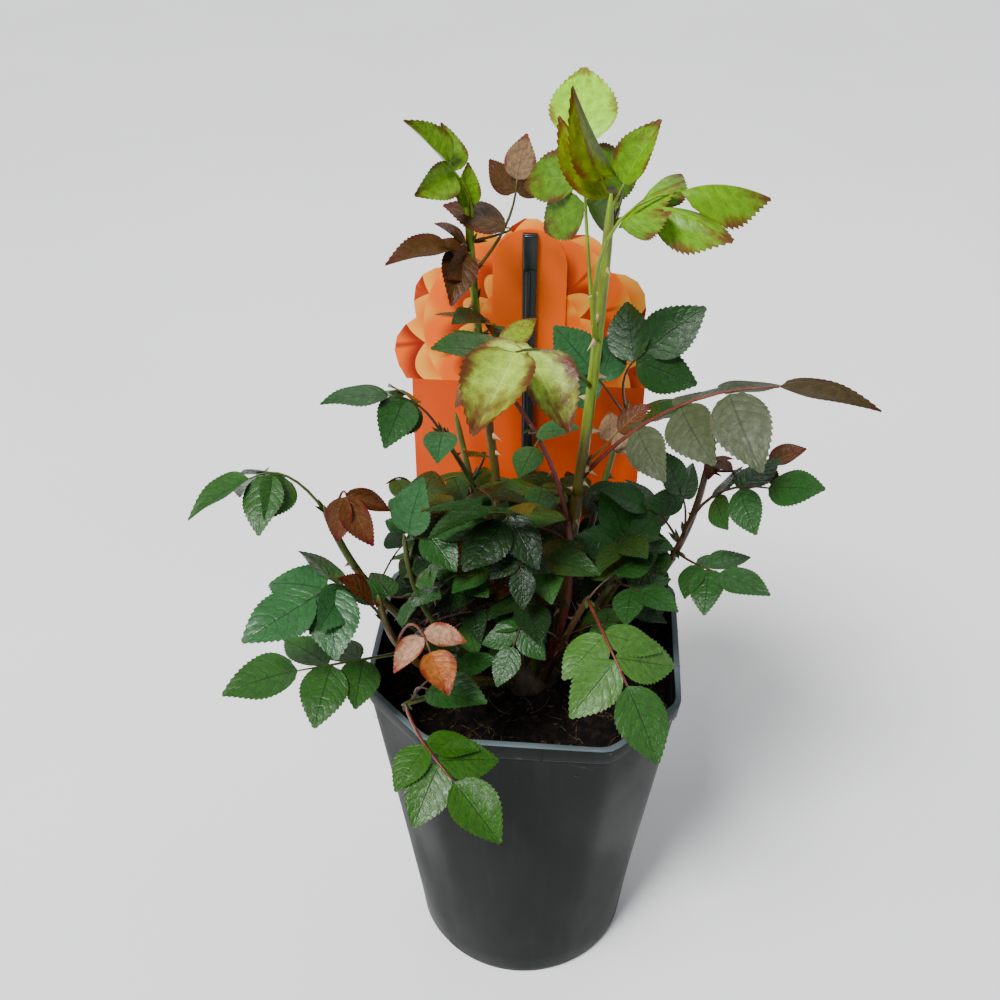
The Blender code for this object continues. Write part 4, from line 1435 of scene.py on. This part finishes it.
@dataclass
class Soil:
    """The potting mix: crumbly top, bits of bark and fibres."""
    shape: PotShape
    level: float = 228.0
    inset: float = 2.1
    walls: tuple[float, ...] = (4.3, 64.0, 128.0, 192.0, 222.0)
    rings: int = 58
    edge: float = 0.07
    edge_drop: float = 3.0
    half: float = 88.0
    corner: float = 140.0
    mix: EarthFinish = EarthFinish((0.0015, 0.001, 0.0006), (0.014, 0.008, 0.0045), 240.0)
    chips: int = 420
    chip_length: tuple[float, float] = (1.5, 8.5)
    chip_depth: tuple[float, float] = (0.6, 2.0)
    chip_tilts: tuple[tuple[str, float], ...] = (("X", 0.7), ("Y", 0.5))
    chip_finishes: tuple[EarthFinish, EarthFinish] = (
        EarthFinish((0.004, 0.002, 0.001), (0.018, 0.010, 0.005)),
        EarthFinish((0.018, 0.009, 0.004), (0.085, 0.045, 0.021)))
    dark_share: float = 0.62
    fibres: int = 150
    fibre_steps: int = 6
    fibre_length: tuple[float, float] = (5.0, 22.0)
    fibre_radii: tuple[float, float] = (0.32, 0.12)
    fibre_finish: EarthFinish = EarthFinish((0.06, 0.035, 0.018), (0.20, 0.13, 0.07))

    def height(self, x: float, y: float) -> float:
        """Height of the soil's top at a place."""
        swell = sin(x * 0.11 + 1.3) * cos(y * 0.09 - 0.4) + 0.4 * sin((x - y) * 0.2)
        crumbs = noise.noise(Vector((x, y, 3.0)) * 0.16) * 1.8 + noise.noise(Vector((x, y, 9.0)) * 0.55) * 1.1
        return self.level + 1.5 * swell + crumbs - 0.6

    def build(self, seed: int) -> None:
        """Make the bed, then scatter bark and fibres on it.

        Args:
            seed: the seed of the scatter.
        """
        obj = start_rings("soil_bed", len(self.walls) + self.rings, self.shape.sides)
        for vert in obj.data.vertices:
            i = round(vert.co.z)
            if i < len(self.walls):
                inset = self.inset + (1.2 if i == 0 else 0.0)
                vert.co = self.shape.point(vert.co, self.walls[i], inset) * MM
                continue
            share = 1.0 - (i - len(self.walls)) / self.rings
            spot = self.shape.point(vert.co, self.level, self.inset, share * 0.995)
            drop = self.edge_drop * max(0.0, share - 1 + self.edge) / self.edge
            spot.z = self.height(spot.x, spot.y) - drop
            vert.co = spot * MM
        mend(obj)
        smooth(obj, 70)
        dress(obj, self.mix.build("potting_mix"), "soil", "soil")
        self.scatter(Random(seed))

    def spot(self, draw: Random) -> Vector:
        """A place on the soil's top, away from the wall.

        Args:
            draw: the source of places.

        Returns:
            The place in millimetres.
        """
        while True:
            x, y = draw.uniform(-self.half, self.half), draw.uniform(-self.half, self.half)
            if abs(x) + abs(y) < self.corner:
                return Vector((x, y, self.height(x, y)))

    def scatter(self, draw: Random) -> None:
        """Make the bits of bark, in two colours, then the fibres.

        Args:
            draw: the source of their sizes and places.
        """
        obj = start_cube("chip_pattern")
        with editing(obj):
            bpy.ops.mesh.subdivide(number_cuts=1, fractal=0.5, seed=3)
            bpy.ops.mesh.bevel(offset=0.08, segments=1)
        chip = SmallShape(obj)
        stores = [MeshStore("bark_chips_dark"), MeshStore("bark_chips_brown")]
        for _ in range(self.chips):
            length = draw.uniform(*self.chip_length) * draw.uniform(0.5, 1.0)
            size = (length, length * draw.uniform(0.25, 0.7), draw.uniform(*self.chip_depth))
            turn = Matrix.Rotation(draw.uniform(0, 2 * pi), 3, "Z")
            for axis, tilt in self.chip_tilts:
                turn = turn @ Matrix.Rotation(draw.uniform(-tilt, tilt), 3, axis)
            spot = np.array(self.spot(draw)) + (0, 0, 0.3)
            store = stores[0 if draw.random() < self.dark_share else 1]
            store.add(spot + chip.points * size @ np.array(turn).T, chip.faces, chip.uvs)
        for store, finish in zip(stores, self.chip_finishes):
            dress(store.build(), finish.build(store.name), "soil")
        self.scatter_fibres(draw)

    def scatter_fibres(self, draw: Random) -> None:
        """Make the fibres, which bend as they lie on the soil.

        Args:
            draw: the source of their lengths and places.
        """
        fibres = MeshStore("fibres")
        for _ in range(self.fibres):
            start = self.spot(draw)
            turn, length, bend = draw.uniform(0, 360), draw.uniform(*self.fibre_length), draw.uniform(-90, 90)
            path = [np.array(start) + (0, 0, 0.2)]
            for i in range(self.fibre_steps):
                way = direction(turn + bend * i / self.fibre_steps, 0)
                x, y, _ = path[-1] + way * length / self.fibre_steps
                path.append(np.array((x, y, self.height(x, y) + 0.3 + draw.uniform(0, 0.8))))
            fibres.add(*tube(np.array(path), np.linspace(*self.fibre_radii, len(path)), 4))
        dress(fibres.build(), self.fibre_finish.build("fibre"), "soil")


# --- label -----------------------------------------------------------------------------------


@dataclass
class Label:
    """The scalloped card and its tongue, printed, on a stake."""
    middle: float = -7.0
    heart: float = 432.0
    panel_top: float = 396.0
    no_panel: float = 900.0
    plastic: tuple[Colour, Colour] = ((0.004, 0.008, 0.0075), (0.009, 0.016, 0.015))
    point_share: float = 0.05
    point_width: float = 0.3
    cap: float = 22.0
    spine: float = 0.84

    def build(self) -> None:
        """Print the cards, then model the stake."""
        card = PrintFinish((self.middle, self.heart), self.panel_top)
        tongue = replace(card, panel=self.no_panel, plain=card.warm)
        for node, finish in (("label_card", card), ("label_tongue", tongue)):
            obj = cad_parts[node]
            obj.data.materials.clear()
            obj.data.materials.append(finish.build(node + "_print"))
        self.model_stake()

    def model_stake(self) -> None:
        """Model the stake: a flat bar with a rounded spine and a cap."""
        low, high = [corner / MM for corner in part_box("label_stake")]
        width, thick, height = high - low
        middle, front, top = (low + high) / 2, low.y, high.z
        graph = Graph("stake_plastic", 0.30)
        tint = graph.noise((90, 90, 25), 3.0)
        material = graph.finish(graph.mix(tint, *self.plastic), tint, 0.12, 0.2)
        bar = self.block("stake_bar", middle, (width, thick, height), 0.7)
        for vert in bar.data.vertices:
            if vert.co.z < (low.z + self.point_share * height) * MM:
                vert.co.x = middle.x * MM + (vert.co.x - middle.x * MM) * self.point_width
        dress(bar, material, "stake_plastic", "label_stake")
        rise, length = top - (self.cap + 1.0) - self.spine / 2 * height, self.spine * height
        for name, spot, size, edge in (
                ("cap", (middle.x, front + 0.6, top - self.cap / 2 - 0.5), (width - 0.6, 3.0, self.cap), 1.4),
                ("spine", (middle.x - 0.8, front + 0.2, rise), (width * 0.38, 3.2, length), 1.3),
                ("edge", (middle.x + 0.38 * width, front + 0.1, rise), (1.1, 2.0, length), 0.4)):
            dress(self.block("stake_" + name, spot, size, edge), material, "stake_plastic")

    def block(self, name: str, middle: Point, size: Point, edge: float) -> bpy.types.Object:
        """Model a bar with rounded edges.

        Args:
            name: its name.
            middle: its middle in millimetres.
            size: its size in millimetres.
            edge: how far in its edges are rounded.

        Returns:
            The bar.
        """
        obj = start_cube(name, [span * MM for span in size])
        with editing(obj):
            bpy.ops.mesh.bevel(offset=edge * MM, segments=3)
        obj.data.transform(Matrix.Translation(Vector(middle) * MM))
        mend(obj, 1e-7)
        smooth(obj, 50)
        return obj


# --- the whole plant ----------------------------------------------------------------------------


class Room:
    """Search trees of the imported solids, which say what is there and what is free."""
    spots = ((0.3, 0.3), (0.3, -0.3), (0.65, 0.25), (0.65, -0.25), (0.5, 0.0), (1.0, 0.0))

    def __init__(self) -> None:
        """Read every node once."""
        self.trees: dict[str, BVHTree] = {}
        verts: list[Vector] = []
        faces: list[list[int]] = []
        for name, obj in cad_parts.items():
            own_verts = [vert.co / MM for vert in obj.data.vertices]
            own_faces = [list(face.vertices) for face in obj.data.polygons]
            self.trees[name] = BVHTree.FromPolygons(own_verts, own_faces)
            faces += [[len(verts) + i for i in face] for face in own_faces]
            verts += own_verts
        self.whole = BVHTree.FromPolygons(verts, faces)
        self.added: list[np.ndarray] = []

    def holds(self, node: str, blade: Blade, near: float = 2.0) -> bool:
        """Whether a mass has this leaflet."""
        return self.trees[node].find_nearest(Vector(blade.middle()), near)[0] is not None

    def samples(self, blade: Blade) -> np.ndarray:
        """Points spread over a leaflet."""
        return np.array([blade.root + blade.size * (share * blade.forward + out * blade.side)
                         for share, out in self.spots])

    def free(self, blade: Blade, clear: float = 2.2) -> bool:
        """Whether a leaflet stays clear of the solids and of the leaflets added so far.

        Args:
            blade: the leaflet.
            clear: the room that it needs in millimetres.

        Returns:
            True where it is clear.
        """
        points = self.samples(blade)
        if any(self.whole.find_nearest(Vector(point), clear)[0] is not None for point in points):
            return False
        if self.added:
            taken = np.concatenate(self.added)
            return np.linalg.norm(points[:, None] - taken[None], axis=2).min() >= clear * 2
        return True

    def take(self, blade: Blade) -> None:
        """Remember a leaflet that was added."""
        self.added.append(self.samples(blade))


@dataclass
class Bush:
    """Canes, stems, leaves, thorns and the finer sprays between them."""
    room: Room
    seed: int = 11
    reach: float = 90.0
    floor: float = 268.0
    front_floor: float = 296.0
    top: float = 450.0
    sprays: int = 9
    ceiling: float = 374.0
    slope: float = 0.62
    berth: float = 13.0
    outlook: Point = (0.04, -0.83, 0.56)
    open_ways: tuple[tuple[str, float, float], ...] = (("main_cane", 0.08, 0.45), ("red_stem", 0.35, 0.75))
    stem_steps: int = 27
    stem_end: tuple[float, ...] = (0.95, 0.85, 0.62, 0.30)
    thorns_top: float = 0.9
    thorn_gap: float = 17.0
    stalk_foot: float = 0.70
    stalk_gain: float = 0.006
    stalk_end: float = 0.50
    spray_start: float = 0.30
    spray_span: float = 0.66
    spray_size: tuple[float, float] = (22.0, 31.0)
    stipule: float = 9.0
    stipule_start: float = 1.2
    stipule_spread: float = 0.28
    stipule_broad: float = 0.42

    def build(self) -> None:
        """Grow every shoot and make the joined pieces."""
        self.foliage = Foliage(self.seed)
        self.stalks = Stalks("stalks")
        self.stems = Stalks("stems")
        self.thorns = Thorns(self.seed + 1)
        self.draw = Random(self.seed + 2)
        self.paths = {shoot.name: shoot_path(shoot) for shoot in SHOOTS}
        self.ways = np.array([point for name, low, high in self.open_ways
                              for point in self.stretch(name, low, high, 9)])
        for shoot in SHOOTS:
            Cane(shoot).build()
            self.grow(shoot)
        for shoot in SHOOTS:
            self.spray(shoot)
        for gathered in (self.foliage, self.stalks, self.stems, self.thorns):
            gathered.build()

    def stretch(self, name: str, low: float, high: float, steps: int) -> np.ndarray:
        """Evenly spaced points of the named shoot, from a low to a high share of it."""
        shares = [low + (high - low) * i / steps for i in range(steps + 1)]
        return np.array([along(self.paths[name], share)[0] for share in shares])

    def grow(self, shoot: Shoot) -> None:
        """Grow one shoot's stem, its leaves from the table and its rule-made leaves.

        Args:
            shoot: its row of the table.
        """
        path, node = self.paths[shoot.name], shoot.mass
        line = self.stretch(shoot.name, shoot.bare, 1.0, self.stem_steps)
        self.stems.add(line, (shoot.radius(shoot.bare), shoot.radii[1]), shoot.stem, 10, self.stem_end)
        self.thorns.scatter(shoot, self.thorns_top, self.thorn_gap)
        for leaf in shoot.leaves:
            self.place(path, leaf, SUN, node)
        for leaf in rule_leaves(shoot):
            best = max(self.turned(leaf), key=lambda tried: self.held(path, tried, node))
            if self.held(path, best, node) > 0:
                tone = self.draw.choice((T.DARK, T.DARK, T.MID, T.MID))
                self.place(path, replace(best, tone=tone), self.outward(best), node, True)

    def turned(self, leaf: Leaf) -> list[Leaf]:
        """A rule-made leaf turned aside in each way that the rule tries."""
        return [replace(leaf, heading=leaf.heading + turn, pitch=leaf.pitch + lift,
                        blade_heading=leaf.blade_heading + turn, blade_pitch=leaf.blade_pitch + lift)
                for turn, lift in FILL_NUDGES]

    def outward(self, leaf: Leaf) -> Point:
        """Light for a rule-made leaf, which turns a little outwards."""
        way = direction(leaf.heading, 0.0) * FILL_OUTWARD
        return (way[0], way[1], 1.0)

    def held(self, path: np.ndarray, leaf: Leaf, node: str) -> int:
        """How many of a leaf's leaflets its mass has."""
        start, _ = along(path, min(leaf.at, LAST_NODE))
        blades = blades_of(stalk_path(start, leaf, 3), leaf, self.outward(leaf))
        return sum(self.room.holds(node, blade) for blade in blades)

    def place(self, path: np.ndarray, leaf: Leaf, sun: Point, node: str, made: bool = False) -> None:
        """Add a leaf's stalk and the leaflets that its mass has.

        Args:
            path: the shoot's centre line.
            leaf: the leaf.
            sun: where the light comes from.
            node: its mass.
            made: whether the rule made it, so that it keeps out of the open ways.
        """
        start, _ = along(path, min(leaf.at, LAST_NODE))
        sun = LOW_SUN if leaf.extra and leaf.low_sun else sun
        blades = [blade for blade in blades_of(stalk_path(start, leaf, 3), leaf, sun)
                  if (leaf.extra or self.room.holds(node, blade)) and (not made or self.clear(blade))]
        if not blades:
            log.info("%s: no leaf at %.2f", node, leaf.at)
            return
        tone = leaf.side_tone or leaf.tone
        stalk = stalk_path(start, leaf, STALK_STEPS)
        radii = (self.stalk_foot + self.stalk_gain * leaf.reach, self.stalk_end)
        self.stalks.add(stalk, radii, STALK_BARK.get(tone, Bark.BROWN))
        end = (leaf.tone, node, leaf.tip_fold or leaf.fold, leaf.broad * leaf.tip_broad, leaf.curl)
        for blade in blades:
            self.foliage.add(blade, *(end if blade.tip else (tone, node, leaf.fold, leaf.broad, leaf.curl)))
        self.stipules(stalk, tone, node)

    def stipules(self, stalk: np.ndarray, tone: Tone, node: str) -> None:
        """Add the two narrow wings at the foot of a stalk.

        Args:
            stalk: its centre line.
            tone: the leaf's colour.
            node: its mass.
        """
        forward = unit(stalk[1] - stalk[0])
        side, upper = blade_axes(forward, 0.0, SUN)
        root = stalk[0] + forward * self.stipule_start
        for hand in (-1, 1):
            way = unit(forward + hand * self.stipule_spread * side)
            top = square(upper, way)
            self.foliage.add(Blade(root, way, np.cross(way, top), top, self.stipule), tone, node,
                             broad=self.stipule_broad)

    def spray(self, shoot: Shoot) -> None:
        """Add finer leaves round a shoot, where there is room between the masses.

        Args:
            shoot: its row of the table.
        """
        path, node = self.paths[shoot.name], shoot.mass
        draw = self.draw.uniform
        for i in range(self.sprays):
            at = self.spray_start + self.spray_span * (i + draw(0.2, 0.8)) / self.sprays
            heading = shoot.heading + FILL_TURN * i + 20
            count = 5 if i % 3 == 0 else 3
            size = draw(*self.spray_size)
            leaf = Leaf(at, heading, draw(5, 50), draw(22, 40), heading, draw(-25, 15), count, size,
                        self.draw.choice((T.DARK, T.DARK, T.DARK, T.DEEP, T.MID)), 0, 0.28)
            for tried in self.turned(leaf):
                start, _ = along(path, tried.at)
                stalk = stalk_path(start, tried, STALK_STEPS)
                blades = [blade for blade in blades_of(stalk, tried, self.outward(tried)) if self.fits(blade)]
                if len(blades) >= tried.count - 1:
                    self.stalks.add(stalk, (0.7, 0.4), Bark.BROWN, 5)
                    for blade in blades:
                        self.room.take(blade)
                        self.foliage.add(blade, tried.tone, node)
                    break

    def fits(self, blade: Blade) -> bool:
        """Whether an added leaflet stays in the crown's space and clear of the rest.

        Args:
            blade: the leaflet.

        Returns:
            True where it does.
        """
        for x, y, z in (blade.root + blade.forward * blade.size, blade.middle()):
            floor = self.front_floor if y < 0 else self.floor
            if hypot(x, y) > self.reach or not floor < z < self.top:
                return False
        return self.clear(blade) and self.room.free(blade)

    def clear(self, blade: Blade) -> bool:
        """Whether a leaflet stays under the crown's sloping top and off the open ways to the canes.

        Args:
            blade: the leaflet.

        Returns:
            True where it does.
        """
        middle = blade.middle()
        if middle[2] + self.slope * middle[1] > self.ceiling:
            return False
        offset = middle - self.ways
        ahead = offset @ self.outlook
        gap = np.linalg.norm(offset - np.outer(ahead, self.outlook), axis=1)
        return not ((ahead > 0) & (gap < self.berth)).any()


# --- studio -----------------------------------------------------------------------------------------


@dataclass
class Studio:
    """Pale floor, soft lights and the camera."""
    eye: Point = (0.0276, -0.5794, 0.7730)
    forward: Point = (-0.0640, 0.8131, -0.5786)
    up: Point = (-0.0499, 0.5764, 0.8156)
    lens: float = 1.2049
    sensor: float = 36.0
    floor_size: float = 6.0
    floor_drop: float = 0.0004
    paint: tuple[Colour, Colour] = ((0.86, 0.86, 0.86), (0.88, 0.88, 0.88))
    sky: tuple[Colour, float] = ((0.90, 0.95, 1.0), 0.35)
    aim: Point = (0.0, 0.0, 0.35)
    lights: tuple[tuple[str, str, Point, float, float], ...] = (
        ("day", "SUN", (-0.38, -0.62, 1.0), 4.9, 18.0), ("left", "AREA", (-1.3, -0.6, 1.3), 12.0, 1.0),
        ("right", "AREA", (1.4, -0.2, 1.0), 1.2, 1.0), ("above", "AREA", (0.1, 1.1, 1.5), 6.5, 1.3))

    def build(self) -> None:
        """Set up the floor, the sky, the lights and the camera."""
        deselect()
        bpy.ops.mesh.primitive_plane_add(size=self.floor_size)
        floor = take_active("studio_floor")
        floor.data.transform(Matrix.Translation((0, 0, -self.floor_drop)))
        graph = Graph("floor_paint", 0.75)
        tint = graph.noise((3, 3, 3), 2.0)
        floor.data.materials.append(graph.finish(graph.mix(tint, *self.paint)))
        world = bpy.data.worlds.new("soft_sky")
        world.use_nodes = True
        background = world.node_tree.nodes["Background"]
        background.inputs["Color"].default_value = (*self.sky[0], 1.0)
        background.inputs["Strength"].default_value = self.sky[1]
        bpy.context.scene.world = world
        for light in self.lights:
            self.light(*light)
        self.camera()

    def light(self, name: str, kind: str, place: Point, power: float, breadth: float) -> None:
        """Add one soft light.

        Args:
            name: its name.
            kind: a sun shines from its place's way, and an area looks at the plant.
            place: where it hangs.
            power: its strength or its power in watts.
            breadth: how broad it is, in degrees or metres.
        """
        lamp = bpy.data.lights.new(name, kind)
        lamp.energy = power
        obj = bpy.data.objects.new(name, lamp)
        obj.location = place
        way = -Vector(place)
        if kind == "SUN":
            lamp.angle = radians(breadth)
        else:
            lamp.size = breadth
            way += Vector(self.aim)
        obj.rotation_euler = way.to_track_quat("-Z", "Y").to_euler()
        bpy.context.scene.collection.objects.link(obj)

    def camera(self) -> None:
        """Set the camera at its place and turn."""
        data = bpy.data.cameras.new("camera")
        data.sensor_width = self.sensor
        data.lens = self.lens * self.sensor
        data.clip_start = 0.01
        obj = bpy.data.objects.new("camera", data)
        forward = Vector(self.forward).normalized()
        right = forward.cross(Vector(self.up)).normalized()
        up = right.cross(forward)
        obj.matrix_world = Matrix.Translation(self.eye) @ Matrix((right, up, -forward)).transposed().to_4x4()
        bpy.context.scene.collection.objects.link(obj)
        bpy.context.scene.camera = obj


def main() -> None:
    """Build every sub-assembly."""
    logging.basicConfig(level=logging.INFO, format="%(name)s %(message)s")
    room = Room()
    shape = PotShape()
    Studio().build()
    Pot(shape).build()
    Soil(shape).build(seed=5)
    Crown().build()
    Label().build()
    Bush(room).build()


if __name__ == "__main__":
    main()
